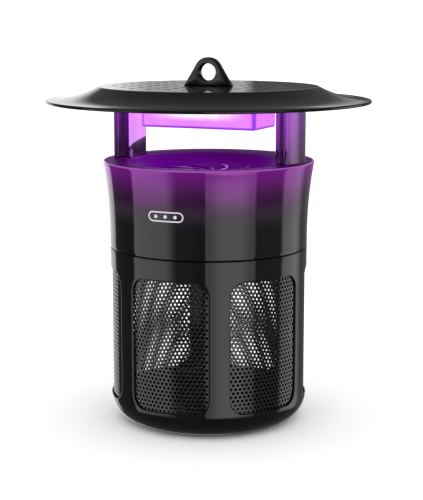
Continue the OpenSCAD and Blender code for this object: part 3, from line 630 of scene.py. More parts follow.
def post_black(body):
    """Glossy black plastic of the posts with painted lamp light: violet painted towards the lamp, a painted
    greyer sheen on the outer faces, painted shade in the grooves and low on the inner face, and painted light
    with a painted highlight spot where the lamp falls.
    """
    made, tree = material("post_black")
    x, y, z = tree.axes()
    radius = (x * x + y * y) ** 0.5
    outer = radius.ramp(body.post_joint - 0.0003, body.post_joint + 0.0003)
    up = z.ramp(RING_Z * MM, TRAY_Z * MM)
    groove = 1.0 - abs(radius - body.groove_at).ramp(0.0010, 0.0017)
    toward = 1.0 - radius.ramp(body.post_inner + 0.0003, body.post_inner + 0.0007)
    # painted lamp light on the inner face above a slanting line, painted shade below it, and a painted
    # highlight spot below the line
    line_y, line_z, slope = -0.014, 0.1962, 0.21
    highlight_spot_y, highlight_spot_z = -0.0095, 0.1920
    edge = z - (line_z + tree.noise(40.0, 0.0) * 0.0008) - (y - line_y) * slope
    lit = toward * edge.ramp(-0.0003, 0.0008)
    foot_y, foot_z = (y - highlight_spot_y) * 0.7, z - highlight_spot_z
    highlight_spot = 1.0 - ((foot_y * foot_y + foot_z * foot_z * 0.6) ** 0.5).ramp(0.0016, 0.0034)
    # painted lamp light: the violet grows towards the lamp, and the outer faces carry a painted greyer sheen
    violet = tree.mix(up, (0.060, 0.003, 0.100), (0.17, 0.008, 0.32))
    outer_sheen = tree.mix(up, (0.130, 0.046, 0.145), (0.250, 0.055, 0.400))
    shade = tree.mix(outer, violet, outer_sheen)
    # painted shade: the grooves and the inner face below the lit line are darkened
    shade = tree.mix(groove * 0.8, shade, (0.012, 0.0, 0.018))
    shade = tree.mix(toward * (1.0 - lit), shade, (0.022, 0.0, 0.028))
    # painted glow: emission in the lamp's violet, growing towards the lamp, with bright painted light above
    # the slanting line and the painted highlight spot
    glow_core = tree.tint((0.050, 0.002, 0.085), up * (1.0 - groove))
    glow = tree.mix(outer, glow_core, tree.tint((0.040, 0.008, 0.065), up))
    bright = tree.mix(up, (0.62, 0.30, 0.85), (0.86, 0.26, 1.0))
    glow = tree.mix(lit * 0.92, glow, bright)
    glow = tree.mix(highlight_spot * toward * 0.7, glow, (0.30, 0.12, 0.42))
    tree.surface(
        base_color=shade, metallic=0.7, roughness=wear(tree, 0.09, 0.05), emission_color=glow,
        emission_strength=1.0, normal=tree.bump(tree.noise(160.0, 1.0), 0.00001),
    )
    return made


def inner_black(name, base, violet, low_z, high_z, lit_z=10.0):
    """Satin black plastic with a fine grain: painted violet lamp light grows between two heights, and a
    painted highlight shines on all above lit_z.
    """
    made, tree = material(name)
    share = lamp_share(tree, low_z, high_z)
    grain = tree.noise(1500.0, 3.0, 0.6)
    # painted highlight: broken bright emission on everything above lit_z, such as the vane tops
    lit = tree.axes()[2].ramp(lit_z - 0.0003, lit_z - 0.00005) * tree.noise(70.0, 1.0).ramp(0.35, 0.65)
    # painted lamp light: violet emission in step with the violet in the base colour
    spilt = tree.tint(tuple(0.45 * c for c in violet), share)
    tree.surface(
        base_color=tree.mix(share, base, violet), metallic=share * 0.4,
        roughness=0.24 + grain * 0.1, normal=tree.bump(grain, 0.00002), specular_ior_level=0.18,
        emission_color=tree.mix(lit, spilt, (0.50, 0.18, 0.62)), emission_strength=1.0,
    )
    return made


def panel_black():
    """Black plastic with a fine spark-eroded texture."""
    made, tree = material("panel_black")
    grain = tree.noise(1800.0, 4.0, 0.7)
    tree.surface(
        base_color=tree.mix(grain, (0.012, 0.012, 0.013), (0.028, 0.028, 0.03)),
        roughness=0.38 + grain * 0.14, normal=tree.bump(grain, 0.00005),
    )
    return made


def mesh_black():
    """Satin black lacquer on a perforated sheet, with dust in random patches."""
    made, tree = material("mesh_black")
    dust = tree.noise(240.0, 4.0, 0.7).ramp(0.55, 0.8)
    tree.surface(
        base_color=tree.mix(dust, DUST_ON_BLACK, (0.022, 0.022, 0.023)),
        roughness=wear(tree, 0.07, 0.05) + dust * 0.06,
        normal=tree.bump(tree.noise(700.0, 2.0), 0.000006), ior=1.55,
    )
    return made


def lamp_cover(settings):
    """The lit cover: white-hot by the diodes, magenta over its faces and violet along its edges."""
    made, tree = material("lamp_cover")
    x, y, z = tree.axes()
    half_x, half_y = settings.half_width, settings.half_depth
    bottom = LAMP_Z * MM
    to_x, to_y = (half_x - abs(x)), (half_y - abs(y))
    side_edge = 1.0 - to_x.high(to_y).ramp(0.0016, 0.0030)
    wall_edge = 1.0 - to_x.low(to_y).ramp(0.0004, 0.0012)
    low_edge = (1.0 - z.ramp(bottom + 0.0012, bottom + 0.0024)) * wall_edge
    edge = side_edge.high(low_edge)
    across = 1.0 - (abs(x) / half_x).ramp(0.15, 0.95)
    rows = 1.0 + 0.10 * (x * (TURN / 0.0105)).wave()
    hot = z.ramp(bottom + 0.0046, bottom + 0.0102) * across * rows
    cloud = tree.noise(55.0, 2.0)
    body = tree.mix(hot.low(1.0), tuple(settings.magenta), (1.0, 0.93, 1.0))
    body = tree.mix(cloud.ramp(0.4, 0.9) * 0.25, body, (0.98, 0.42, 1.0))
    tree.surface(
        base_color=(0.05, 0.02, 0.08), roughness=0.12, emission_strength=1.0,
        emission_color=tree.mix(edge * 0.9, body, tuple(settings.violet)), coat_weight=0.3,
    )
    return made


def metal(name, base, rough, grain_scale):
    """Turned or plated metal with fine marks round its axis."""
    made, tree = material(name)
    grain = tree.noise(grain_scale, 3.0, 0.65)
    tree.surface(
        base_color=tree.mix(grain, tuple(0.82 * c for c in base), base), metallic=1.0,
        roughness=rough + grain * 0.14,
        normal=tree.bump(grain, 0.000012),
    )
    return made


def plastic(name, base, rough, grain_scale=1400.0, depth=0.00002):
    """Moulded plastic or rubber with a fine grain."""
    made, tree = material(name)
    grain = tree.noise(grain_scale, 3.0, 0.6)
    tree.surface(
        base_color=tree.mix(grain, tuple(0.75 * c for c in base), tuple(1.2 * c for c in base)),
        roughness=rough + grain * 0.12,
        normal=tree.bump(grain, depth),
    )
    return made


def winding(name):
    """Enamelled copper wire wound in close turns along Z."""
    made, tree = material(name)
    z = tree.axes()[2]
    turns = (z * (TURN / 0.0005)).wave() * 0.5 + 0.5
    tree.surface(
        base_color=tree.mix(turns, (0.20, 0.06, 0.02), (0.72, 0.33, 0.15)), metallic=0.9,
        roughness=0.28, normal=tree.bump(turns, 0.0001),
    )
    return made


def circuit(name, base, line):
    """Solder mask with tracks under it."""
    made, tree = material(name)
    x, y, z = tree.axes()
    tracks = ((x * (TURN / 0.0042)).wave() * (z * (TURN / 0.0035) + y * 900.0).wave()).ramp(0.25, 0.4)
    tree.surface(
        base_color=tree.mix(tracks, base, line), roughness=0.25 + tree.noise(500.0) * 0.1,
        normal=tree.bump(tracks, 0.00003),
    )
    return made


def lit_diode(name):
    """A diode under clear resin, lit violet-white in the middle."""
    made, tree = material(name)
    cell = tree.noise(420.0, 1.0)
    tree.surface(
        base_color=(0.7, 0.6, 0.4), roughness=0.15 + cell * 0.1, emission_strength=2.5,
        emission_color=tree.mix(cell, (0.45, 0.15, 1.0), (0.95, 0.8, 1.0)), coat_weight=0.5,
    )
    return made


SCREWS = (
    "loop_screws", "cap_screws", "led_cover_screws", "led_board_screws", "post_top_screws",
    "post_foot_screws", "funnel_screws", "fan_screws", "board_screws",
)
NODE_MATERIALS = {
    "cap_tray": "tray_black", "guide_vanes": "vane_black",
    "fan_frame": "fan_black", "fan_stator": "copper", "fan_bush": "bronze",
    "fan_rotor": "rotor_black", "fan_magnet": "magnet", "fan_shaft": "steel",
    "baffle_plate": "baffle_black", "rear_panel": "panel_black",
    "switch_body": "switch_black", "power_rocker": "rocker_black",
    "dc_jack": "switch_black", "dc_jack_pin": "nickel", "dc_jack_nut": "nickel",
    "control_board": "circuit_green", "board_parts": "component_black", "lamp_lead": "lead_black",
    "seal_ring": "rubber", "foot_ring": "rubber",
    "led_board": "lamp_board", "uv_leds": "led",
    **{name: "steel" for name in SCREWS},
}


def make_materials():
    """Every material of the object, by name."""
    scene = bpy.context.scene
    body, lamp = scene.trap_body, scene.trap_lamp
    ring, tray, vanes = RING_Z * MM, TRAY_Z * MM, high("guide_vanes")[2] * MM
    return {
        "gloss_black": gloss_black(),
        "housing_black": housing_black(body, lamp),
        "post_black": post_black(body),
        # the inner, vane and tray materials carry painted violet lamp light, and the vanes a painted
        # highlight on their tops
        "inner_black": inner_black(
            "inner_black", INNER_BLACK, INNER_LAMP_VIOLET, ring - 0.024, ring + 0.002,
        ),
        "vane_black": inner_black(
            "vane_black", INNER_BLACK, INNER_LAMP_VIOLET, ring - 0.024, ring - 0.004, vanes,
        ),
        "tray_black": inner_black(
            "tray_black", (0.012, 0.010, 0.014), (0.06, 0.008, 0.11), tray + 0.004, tray,
        ),
        "panel_black": panel_black(),
        "mesh_black": mesh_black(),
        "lamp_cover": lamp_cover(lamp),
        "fan_black": plastic("fan_black", (0.020, 0.020, 0.022), 0.35),
        "rotor_black": plastic("rotor_black", (0.022, 0.022, 0.026), 0.22),
        "baffle_black": plastic("baffle_black", (0.016, 0.016, 0.018), 0.4),
        "switch_black": plastic("switch_black", (0.012, 0.012, 0.012), 0.32),
        "rocker_black": plastic("rocker_black", (0.015, 0.015, 0.016), 0.14, 900.0, 0.00001),
        "component_black": plastic("component_black", (0.03, 0.03, 0.034), 0.4),
        "lead_black": plastic("lead_black", (0.015, 0.015, 0.015), 0.35, 500.0),
        "rubber": plastic("rubber", (0.022, 0.022, 0.022), 0.6, 1100.0, 0.00006),
        "magnet": plastic("magnet", (0.03, 0.03, 0.033), 0.55, 800.0),
        "steel": metal("steel", (0.56, 0.56, 0.58), 0.2, 900.0),
        "nickel": metal("nickel", (0.66, 0.64, 0.60), 0.1, 600.0),
        "bronze": metal("bronze", (0.55, 0.40, 0.20), 0.35, 1500.0),
        "copper": winding("copper"),
        "circuit_green": circuit("circuit_green", (0.012, 0.09, 0.035), (0.03, 0.16, 0.06)),
        "lamp_board": circuit("lamp_board", (0.70, 0.71, 0.74), (0.60, 0.61, 0.66)),
        "led": lit_diode("led"),
    }


# ---- pieces ----


def brim_profile(canopy):
    """Upper and lower lines of the brim: height falls from the flat top as a power of the distance left."""
    wall, width = canopy.wall / MM, canopy.skirt_width / MM
    cap_r, shoulder = BRIM_R - width, canopy.shoulder / MM
    reach = width - wall / 2
    r = cap_r + reach * np.linspace(0, 1, 30) ** 1.25
    rise = (TOP_Z - BRIM_Z - wall) * np.maximum(0, 1 - (r - cap_r) / reach) ** canopy.skirt_power
    upper = np.column_stack([r, BRIM_Z + wall + rise])
    slope = np.arctan2(upper[1, 1] - upper[0, 1], upper[1, 0] - upper[0, 0])
    centre = (cap_r - shoulder * np.tan(-slope / 2), TOP_Z - shoulder)
    bend = arc(centre, shoulder, 90, 90 + np.degrees(slope), 5)
    keep = upper[:, 0] > bend[-1, 0] + 0.3
    return bend, upper[keep], np.column_stack([r, BRIM_Z + rise])


def dimple_centres(canopy):
    """Dimples on a square grid, within their reach and clear of the loop's foot."""
    pitch, radius = canopy.dimple_pitch / MM, canopy.dimple_radius / MM
    k = np.arange(-8, 9)
    x, y = np.meshgrid((k + 0.5) * pitch, k * pitch, indexing="ij")
    beside = abs(x) > canopy.loop_width / MM / 2 + radius
    ahead = abs(y) > canopy.loop_thick / MM / 2 + radius
    keep = (np.hypot(x, y) < canopy.dimple_reach / MM) & (beside | ahead)
    return np.column_stack([x[keep], y[keep]])


def canopy_surface(canopy):
    """A dish: a flat top with dimples, and a brim turned about the axis.

    A dimple is a spherical cap, whose last rings ease its rim into the flat top. The flat top is
    triangulated between its border and the dimples' rims.
    """
    around = round_angles()
    bend, upper, lower = brim_profile(canopy)
    wall = canopy.wall / MM
    flat_r = bend[0, 0] - 1.0
    tip = arc((BRIM_R - wall / 2, BRIM_Z + wall / 2), wall / 2, 78, -90, 8)
    under = lower[::-1][lower[::-1, 0] < BRIM_R - 3.0]
    profile = np.concatenate([[[flat_r, TOP_Z]], bend, upper[:-1], tip, under, [[0.0, under[-1, 1]]]])
    radius, depth = canopy.dimple_radius / MM, canopy.dimple_depth / MM
    ball = (radius**2 + depth**2) / (2 * depth)
    sides = round_angles(28)
    rim_out, rim_drop = np.array([-0.12, 0.0, 0.14, 0.3, 0.75]), [0.082, 0.034, 0.006, 0.0, 0.0]
    r = np.r_[0.0, np.linspace(0.25, 0.9, 4) * radius, radius + rim_out]
    drop = np.where(r < radius - 0.1, depth - (ball - np.sqrt(np.maximum(ball**2 - r**2, 0))), 0.0)
    drop[-len(rim_drop):] = rim_drop
    cap = np.stack(
        [r[:, None] * np.cos(sides), r[:, None] * np.sin(sides), TOP_Z - drop[:, None] + 0 * sides], -1,
    )
    centres = dimple_centres(canopy)
    caps = [grid(cap + np.array([x, y, 0.0]), close_columns=True) for x, y in centres]
    ring = np.stack([np.cos(sides), np.sin(sides)], -1) * r[-1]
    border = np.stack([np.cos(around), np.sin(around)], -1) * flat_r
    loops = [border] + [ring + centre for centre in centres]
    starts = np.cumsum([0] + [len(loop) for loop in loops])
    edges = [
        (s + k, s + (k + 1) % len(loop)) for s, loop in zip(starts, loops) for k in range(len(loop))
    ]
    flat = np.concatenate(loops)
    _, _, faces, sources, *_ = delaunay_2d_cdt([tuple(p) for p in flat], edges, [], 1, 1e-6)
    first = [source[0] for source in sources]
    points, faces = flat[first], np.array(faces)
    owner = np.repeat(np.arange(len(loops)), [len(loop) for loop in loops])[first][faces]
    in_dimple = (owner[:, 0] == owner[:, 1]) & (owner[:, 1] == owner[:, 2]) & (owner[:, 0] > 0)
    faces = faces[~in_dimple]
    a, b, c = (points[faces[:, k]] for k in range(3))
    ab, ac = b - a, c - a
    faces = np.where(((ab[:, 0] * ac[:, 1] - ab[:, 1] * ac[:, 0]) < 0)[:, None], faces[:, ::-1], faces)
    plate = np.column_stack([points, np.full(len(points), TOP_Z)]), faces[:, [0, 1, 2, 2]]
    return joined(revolve(profile, around, closed=False), plate, *caps)


def loop_surface(canopy):
    """A loop: a closed tube whose inner side is the eye and whose outer side is a circle on a wide foot.

    At angle t round the eye the outer radius is the circle's over the top, and below that the least of the
    distances to the two slanting sides and to the foot.
    """
    rim = (canopy.eye_radius + canopy.eye_rim) / MM
    eye, half, edge = canopy.eye_radius / MM, canopy.loop_thick / MM / 2, canopy.loop_edge / MM
    foot = canopy.loop_width / MM / 2
    centre_z = LOOP_TOP - rim
    down = centre_z - TOP_Z
    touch = np.arccos(rim / np.hypot(foot, down)) - np.arctan2(down, foot)
    corner = -np.arctan2(down, foot)
    right = np.r_[
        np.linspace(-np.pi / 2, corner, 14)[:-1], np.linspace(corner, touch, 16)[:-1],
        np.linspace(touch, np.pi / 2, 18),
    ]
    t = np.r_[right, np.pi - right[::-1][1:-1]]
    folded = np.where(np.cos(t) < 0, np.pi - t, t)
    side = rim / np.maximum(np.cos(folded - touch), 0.05)
    base = np.where(np.sin(folded) < -0.05, down / np.maximum(-np.sin(folded), 0.05), np.inf)
    outer = np.where(folded > touch, rim, np.minimum(side, base))
    quarter = np.radians(np.linspace(0, 90, 5))
    rows = [(0, edge * (1 - np.sin(a)), -half + edge * (1 - np.cos(a))) for a in quarter]
    rows += [(0, edge * (1 - np.sin(a)), half - edge * (1 - np.cos(a))) for a in quarter[::-1]]
    rows += [(1, edge * (1 - np.sin(a)), half - edge * (1 - np.cos(a))) for a in quarter]
    rows += [(1, edge * (1 - np.sin(a)), -half + edge * (1 - np.cos(a))) for a in quarter[::-1]]
    points = []
    for which, inset, y in rows:
        radius = eye + inset if which == 0 else outer - inset
        points.append(
            np.column_stack([radius * np.cos(t), np.full(len(t), y), centre_z + radius * np.sin(t)])
        )
    return grid(np.array(points), close_rows=True, close_columns=True)


def flare(body, z):
    """Outside radius of the housing at a height: straight, then opening as a power of the height."""
    start = RING_Z - body.flare_height / MM
    share = np.clip((z - start) / (body.flare_height / MM), 0, 1)
    return BODY_R + (RING_R - BODY_R) * share**body.flare_power


def ring_angles(body):
    """Angles round the housing, with doubled angles at the sides of the two pads."""
    pad = np.radians(body.pad_angle)
    extra = np.array([-pad, -pad, pad, pad]) % TURN
    extra = np.r_[extra, (np.array([-pad, -pad, pad, pad]) + np.pi) % TURN]
    angles = np.sort(np.r_[round_angles(), extra])
    away = np.minimum(abs((angles + np.pi / 2) % np.pi - np.pi / 2), np.pi)
    inside = away < pad - 1e-9
    on_side = abs(away - pad) < 1e-9
    for start in np.where(on_side[:-1] & on_side[1:])[0]:
        middle = (angles[start] + np.pi / 2) % np.pi - np.pi / 2
        inside[start if middle > 0 else start + 1] = True
    return angles, inside


def housing_surface(body):
    """A turned wall that flares into the ring, with pads under the posts and a recess through the back.

    The profile is turned as three bands: the ring and its flare, the seam, and between them the band that
    holds the recess, which is a windowed sector at the back and a plain wall everywhere else.
    """
    angles, padded = ring_angles(body)
    wall, edge, round_lip = body.wall / MM, body.edge / MM, body.ring_lip / MM
    band = (BAY[0, 2] - 4.0, BAY[1, 2] + 2.0)
    rim_in, rim_under = RING_R - body.ring_flat / MM, RING_Z - wall

    def rows(profile, chosen=angles, inner=None, closed_columns=True):
        """The profile turned through the chosen angles; its inner rows reach in at the pads."""
        radius = np.repeat(profile[:, :1], len(chosen), axis=1)
        if inner is not None:
            radius[inner[:, None] & padded[None, :]] = body.pad_inner / MM
        x, y = radius * np.cos(chosen), radius * np.sin(chosen)
        return grid(np.stack([x, y, profile[:, 1:] + 0 * radius], -1), close_columns=closed_columns)

    z_up = np.linspace(band[1], RING_Z - round_lip, 16)
    lip = arc((flare(body, z_up[-1]) - round_lip, RING_Z - round_lip), round_lip, 15, 90, 5)
    top = np.concatenate([
        np.column_stack([flare(body, z_up), z_up]), lip,
        [[rim_in + 0.01, RING_Z], [rim_in, RING_Z], [rim_in, rim_under]],
    ])
    z_in = np.linspace(rim_under, band[1], 14)
    top = np.concatenate([top, np.column_stack([flare(body, z_in) - wall, z_in])])
    which = np.zeros(len(top), bool)
    which[len(z_up) + len(lip) + 1:len(z_up) + len(lip) + 3] = True
    upper = rows(top, inner=which)
    z_low = np.linspace(band[0], SEAM_Z + edge, 5)
    bottom = np.concatenate([
        np.column_stack([flare(body, z_low[::-1]) - wall, z_low[::-1]])[::-1],
        arc((BODY_R - wall + edge, SEAM_Z + edge), edge, 180, 270, 3),
        arc((BODY_R - edge, SEAM_Z + edge), edge, 270, 360, 3),
        np.column_stack([flare(body, z_low[::-1]), z_low[::-1]]),
    ])
    lower = rows(bottom)
    back, half = np.pi / 2, np.radians(30.0)
    tall, wide = 20, 40
    z_band = np.linspace(band[0], band[1], tall + 1)
    plain = (angles < back - half + 1e-9) | (angles > back + half - 1e-9)
    order = np.argsort((angles[plain] - back) % TURN, kind="stable")
    chosen = angles[plain][order]
    outer = rows(np.column_stack([flare(body, z_band), z_band]), chosen, closed_columns=False)
    inner = rows(np.column_stack([flare(body, z_band) - wall, z_band]), chosen, closed_columns=False)
    lap = 2.0
    hole = (BAY[1, 0] - lap, BAY[0, 2] + lap, BAY[1, 2] - lap, 1.0)
    sector = window_sector(
        half, band[0], band[1], hole, 0.35, lambda z: flare(body, np.asarray(z)),
        lambda z: flare(body, np.asarray(z)) - wall, [wide, tall, wide, tall],
    )
    return joined(upper, lower, outer, flipped(inner), turned(sector, back))


def funnel_surface(body):
    """A bell: radius and height follow a quarter of an ellipse from the ring down to the throat.

    Its back is a second ellipse inside the first, and both stay under the pads below the posts.
    """
    angles, padded = ring_angles(body)
    rim, throat, rise = RING_R - body.ring_flat / MM - 0.05, body.throat / MM, body.bell_rise / MM
    foot = FAN_TOP + 4.0
    t = np.radians(np.linspace(0, 90, 26))
    bell = np.column_stack([rim - (rim - throat) * np.sin(t), foot + rise * np.cos(t)])
    thick, seat = 2.0, FAN_TOP + 0.05
    back_r, back_z = rim - (rim - throat - thick) * np.sin(t), foot - thick + (rise - 1.5) * np.cos(t)
    back = np.column_stack([back_r, back_z])[::-1]
    profile = np.concatenate([bell, [[throat, seat], [throat + thick, seat]], back])
    z = np.repeat(profile[:, 1:], len(angles), axis=1)
    z[:, padded] = np.minimum(z[:, padded], RING_Z - body.wall / MM - 0.1)
    radius = profile[:, :1]
    points = np.stack([radius * np.cos(angles), radius * np.sin(angles), z], -1)
    return grid(points, close_rows=True, close_columns=True)


def basket_surface(body, window):
    """A bowl, six windowed sectors and a neck, all turned about the axis and sharing their edges."""
    wall, edge, base = body.basket_wall / MM, body.edge / MM, body.base_round / MM
    neck, top = body.neck / MM, high("basket_neck")[2]
    rest = low("basket_bowl")[2]
    seam = SEAM_Z - 0.5
    z0, z1 = rest + base, PANEL_HIGH + 1.0
    around = round_angles()
    inner_r = BODY_R - wall
    outer_bowl = arc((BODY_R - base, rest + base), base, -90, 0, 16)
    inner_bowl = arc((BODY_R - base, rest + base), base - wall, 0, -90, 12)
    floor = [[0.0, rest + wall], [0.0, rest]]
    bowl = np.concatenate([[[inner_r, z0]], inner_bowl[1:], floor, outer_bowl])
    lower = revolve(bowl, around, closed=False)
    thick, chamfer, fillet = 2.2, 0.5, 0.4
    crown = np.concatenate([
        [[BODY_R, z1], [BODY_R, (z1 + seam) / 2]],
        arc((BODY_R - edge, seam - edge), edge, 0, 90, 4),
        [[neck + fillet, seam], [neck, seam + fillet]],
        [[neck, top - chamfer], [neck - chamfer, top]],
        [[neck - thick + chamfer, top], [neck - thick, top - chamfer]],
        [[neck - thick, seam - 4.0], [inner_r, seam - 7.0], [inner_r, z1]],
    ])
    upper = revolve(crown, around, closed=False)
    low_z, high_z = PANEL_LOW + window.sill / MM, PANEL_HIGH - window.lintel / MM
    half = np.pi / window.number
    reach = np.arcsin(window.width / MM / 2 / BODY_R) * BODY_R
    hole = (reach, low_z, high_z, window.corner / MM)
    tall, wide = 56, len(around) // window.number
    sector = window_sector(
        half, z0, z1, hole, window.lip / MM, lambda z: BODY_R + 0 * np.asarray(z),
        lambda z: inner_r + 0 * np.asarray(z), [wide, tall, wide, tall],
    )
    sectors = [turned(sector, -np.pi / 2 + k * 2 * half) for k in range(window.number)]
    return joined(lower, upper, *sectors)


def panel_surface(window):
    """A curved sheet of six-sided cells, each with a round hole, and half cells along its upright edges.

    Cells sit on rows that shift by half a pitch. Each has twelve points on its border and twelve on its
    hole, and the sheet is bent round the axis by turning length along it into angle.
    """
    half, pitch, hole = np.radians(window.panel_half), window.hole_pitch / MM, window.hole_radius / MM
    width, tall = 2 * half * PANEL_OUT, PANEL_HIGH - PANEL_LOW
    columns = int(width / pitch)
    rows = int(tall / (pitch * np.sqrt(3) / 2))
    du, dv = width / (columns + 0.5), tall / (rows + 1 / 3)
    corner = np.array(
        [[0, 2 / 3], [0.5, 1 / 3], [0.5, -1 / 3], [0, -2 / 3], [-0.5, -1 / 3], [-0.5, 1 / 3]]
    )
    between = (corner + np.roll(corner, -1, axis=0)) / 2
    border = np.stack([corner, between], 1).reshape(12, 2) * [du, dv]
    turn = np.arctan2(border[:, 1], border[:, 0])
    circle = np.stack([np.cos(turn), np.sin(turn)], -1) * hole
    i, j = np.meshgrid(np.arange(columns), np.arange(rows), indexing="ij")
    centre = np.stack([(i + 0.5 + 0.5 * (j % 2)) * du, (j + 2 / 3) * dv], -1).reshape(-1, 2)
    cells = np.stack([centre[:, None] + border, centre[:, None] + circle], 1)

    def clamp(points):
        """Moves the points near the sheet's ends onto them, where the cells are cut straight."""
        points[..., 1] = np.where(points[..., 1] < dv * 0.5, 0.0, points[..., 1])
        points[..., 1] = np.where(points[..., 1] > tall - dv * 0.5, tall, points[..., 1])
        return points

    cells[:, 0] = clamp(cells[:, 0])
    start = np.arange(len(cells))[:, None] * 24
    k = np.arange(12)
    quads = np.stack(
        [start + k, start + (k + 1) % 12, start + 12 + (k + 1) % 12, start + 12 + k], -1,
    ).reshape(-1, 4)
    parity = np.arange(rows) % 2
    fans = []
    for side, wanted in ((0.0, 1), (width, 0)):
        ids = np.where(parity == wanted)[0]
        order = np.arange(7) if side == 0.0 else np.r_[6:12, 0]
        middle = np.stack([np.full(len(ids), side), (ids + 2 / 3) * dv], -1)
        fans.append((middle, clamp(middle[:, None] + border[order][None])))
    flat = [cells.reshape(-1, 2)]
    faces = [quads]
    offset = len(flat[0])
    for middle, rim in fans:
        n = len(middle)
        flat += [middle, rim.reshape(-1, 2)]
        first = offset + n + np.arange(n)[:, None] * 7 + np.arange(6)
        hub = np.broadcast_to(offset + np.arange(n)[:, None], first.shape)
        faces.append(np.stack([first, first + 1, hub, hub], -1).reshape(-1, 4))
        offset += n * 8
    flat, faces = np.concatenate(flat), np.concatenate(faces)
    _, first, place = np.unique(
        np.round(flat * 1e4).astype(np.int64), axis=0, return_index=True, return_inverse=True,
    )
    flat, faces = flat[first], place.reshape(-1)[faces]

    def bent(radius):
        """The flat sheet bent to a radius: length along it becomes angle round the axis."""
        angle = flat[:, 0] / PANEL_OUT - half - np.pi / 2
        return np.column_stack([radius * np.cos(angle), radius * np.sin(angle), flat[:, 1] + PANEL_LOW])

    return solid_sheet((bent(PANEL_OUT), faces), bent(PANEL_OUT - window.panel_thick / MM))


def at_heights(rows):
    """Flat outlines, each with a height, as rows of points."""
    return np.array([np.column_stack([outline, np.full(len(outline), z)]) for outline, z in rows])


def post_outline(body, inner, outer, grooved=False):
    """Outline of a post between two radii and two angles, with arcs at its corners.

    A groove down each side is half an ellipse, cut into the straight line between the two radii.
    """
    half, edge = np.radians(body.post_angle), body.post_edge / MM
    a = np.linspace(-half, half, 13)
    near = np.stack([np.cos(a[::-1]), np.sin(a[::-1])], -1) * inner
    far = np.stack([np.cos(a), np.sin(a)], -1) * outer
    path, radii = [], []

    def add(points, size):
        """Adds a run of points whose two ends are corners with a radius."""
        for k, p in enumerate(points):
            path.append(p)
            radii.append(size if k in (0, len(points) - 1) else 0.0)

    add(far, edge)
    if grooved:
        at, radius, deep = body.groove_at / MM, body.groove_half / MM, body.groove_deep / MM
        side = np.linspace(0, np.pi, 9)
        along, out = np.array([np.cos(half), np.sin(half)]), np.array([-np.sin(half), np.cos(half)])
        dent = [along * (at + radius * np.cos(s)) - out * (deep * np.sin(s)) for s in side]
        for p in dent:
            path.append(p)
            radii.append(0.0)
        add(near, edge)
        for p in dent[::-1]:
            path.append(p * [1, -1])
            radii.append(0.0)
    else:
        add(near, edge)
    return rounded_path(path, radii, 3)


def post_surface(outline, z0, z1, fillet):
    """An outline carried up Z: a quarter circle spreads its foot, and its ends close to a point."""
    ahead, behind = np.roll(outline, -1, axis=0), np.roll(outline, 1, axis=0)
    along = ahead - behind
    out = np.stack([along[:, 1], -along[:, 0]], -1) / np.linalg.norm(along, axis=1)[:, None]
    area = (outline[:, 0] * ahead[:, 1] - ahead[:, 0] * outline[:, 1]).sum()
    out *= np.sign(area)
    middle = outline.mean(0)
    t = np.radians(np.linspace(0, 90, 7))
    end = np.broadcast_to(middle, outline.shape)
    rows = [(end, z0)]
    rows += [(outline + out * fillet * (1 - np.sin(a)), z0 + fillet * (1 - np.cos(a))) for a in t]
    rows += [(outline, z0 + fillet + (z1 - z0 - fillet) * f) for f in np.linspace(0, 1, 6)[1:]]
    rows += [(end, z1)]
    return grid(at_heights(rows), close_columns=True)


def lamp_surface(lamp):
    """An open box and the flange round its top.

    The box is a rounded rectangle carried down, round the bottom edge and in to the middle, then back up
    inside. The flange is a flat ring of rectangles.
    """
    half_x, half_y = lamp.half_width / MM, lamp.half_depth / MM
    wall, corner = lamp.wall / MM, lamp.corner / MM
    counts = [44, 20, 44, 20]
    turn = np.radians(np.linspace(0, 90, 5))
    rows = [(0.0, LAMP_TOP), (0.0, LAMP_TOP - 4.0), (0.0, LAMP_Z + corner + 3.0)]
    rows += [(corner * (1 - np.cos(a)), LAMP_Z + corner * (1 - np.sin(a))) for a in turn]
    inner = [(wall, LAMP_Z + wall), (wall, LAMP_TOP)]

    def ring(inset, z):
        """A row of the box at a distance inside its outline."""
        outline = four_sides(half_x - inset, half_y - inset, max(corner + 0.3 - inset, 0.1), counts)
        return np.column_stack([outline, np.full(len(outline), z)])

    points = [ring(*row) for row in rows]
    points += [points[-1] * [f, f, 1] for f in (0.66, 0.33, 0.0)]
    bottom = ring(*inner[0])
    points += [bottom * [f, f, 1] for f in (0.0, 0.5, 1.0)] + [ring(*inner[1])]
    shell = grid(np.array(points), close_rows=True, close_columns=True)
    collar = [
        four_sides(half_x + 6.0, half_y + 2.0, 2.0, counts),
        four_sides(half_x + 0.05, half_y + 0.05, corner + 0.3, counts),
    ]
    under = LAMP_TOP - 2.0
    rows = [(collar[1], under), (collar[0], under), (collar[0], LAMP_TOP), (collar[1], LAMP_TOP)]
    flange = grid(at_heights(rows), close_rows=True, close_columns=True)
    return joined(shell, flange)


# ---- operators ----


class TRAP_OT_materials(bpy.types.Operator):
    """Makes the materials and gives the CAD nodes that stay in view theirs"""

    bl_idname = "trap.materials"
    bl_label = "Make materials"

    def execute(self, context):
        made = make_materials()
        for name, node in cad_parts.items():
            wanted = NODE_MATERIALS.get(name)
            if wanted:
                node.data.materials.clear()
                node.data.materials.append(made[wanted])
        return {"FINISHED"}


class TRAP_OT_canopy(bpy.types.Operator):
    """Builds the canopy and its hanging loop"""

    bl_idname = "trap.canopy"
    bl_label = "Build canopy"

    def execute(self, context):
        canopy, gloss = context.scene.trap_canopy, bpy.data.materials["look_gloss_black"]
        for name, surface, node in (
            ("canopy", canopy_surface(canopy), "cap_shell"), ("loop", loop_surface(canopy), "hanging_loop"),
        ):
            make_piece(name, surface, gloss, "head", [node], SHARP_SHELL)
        return {"FINISHED"}


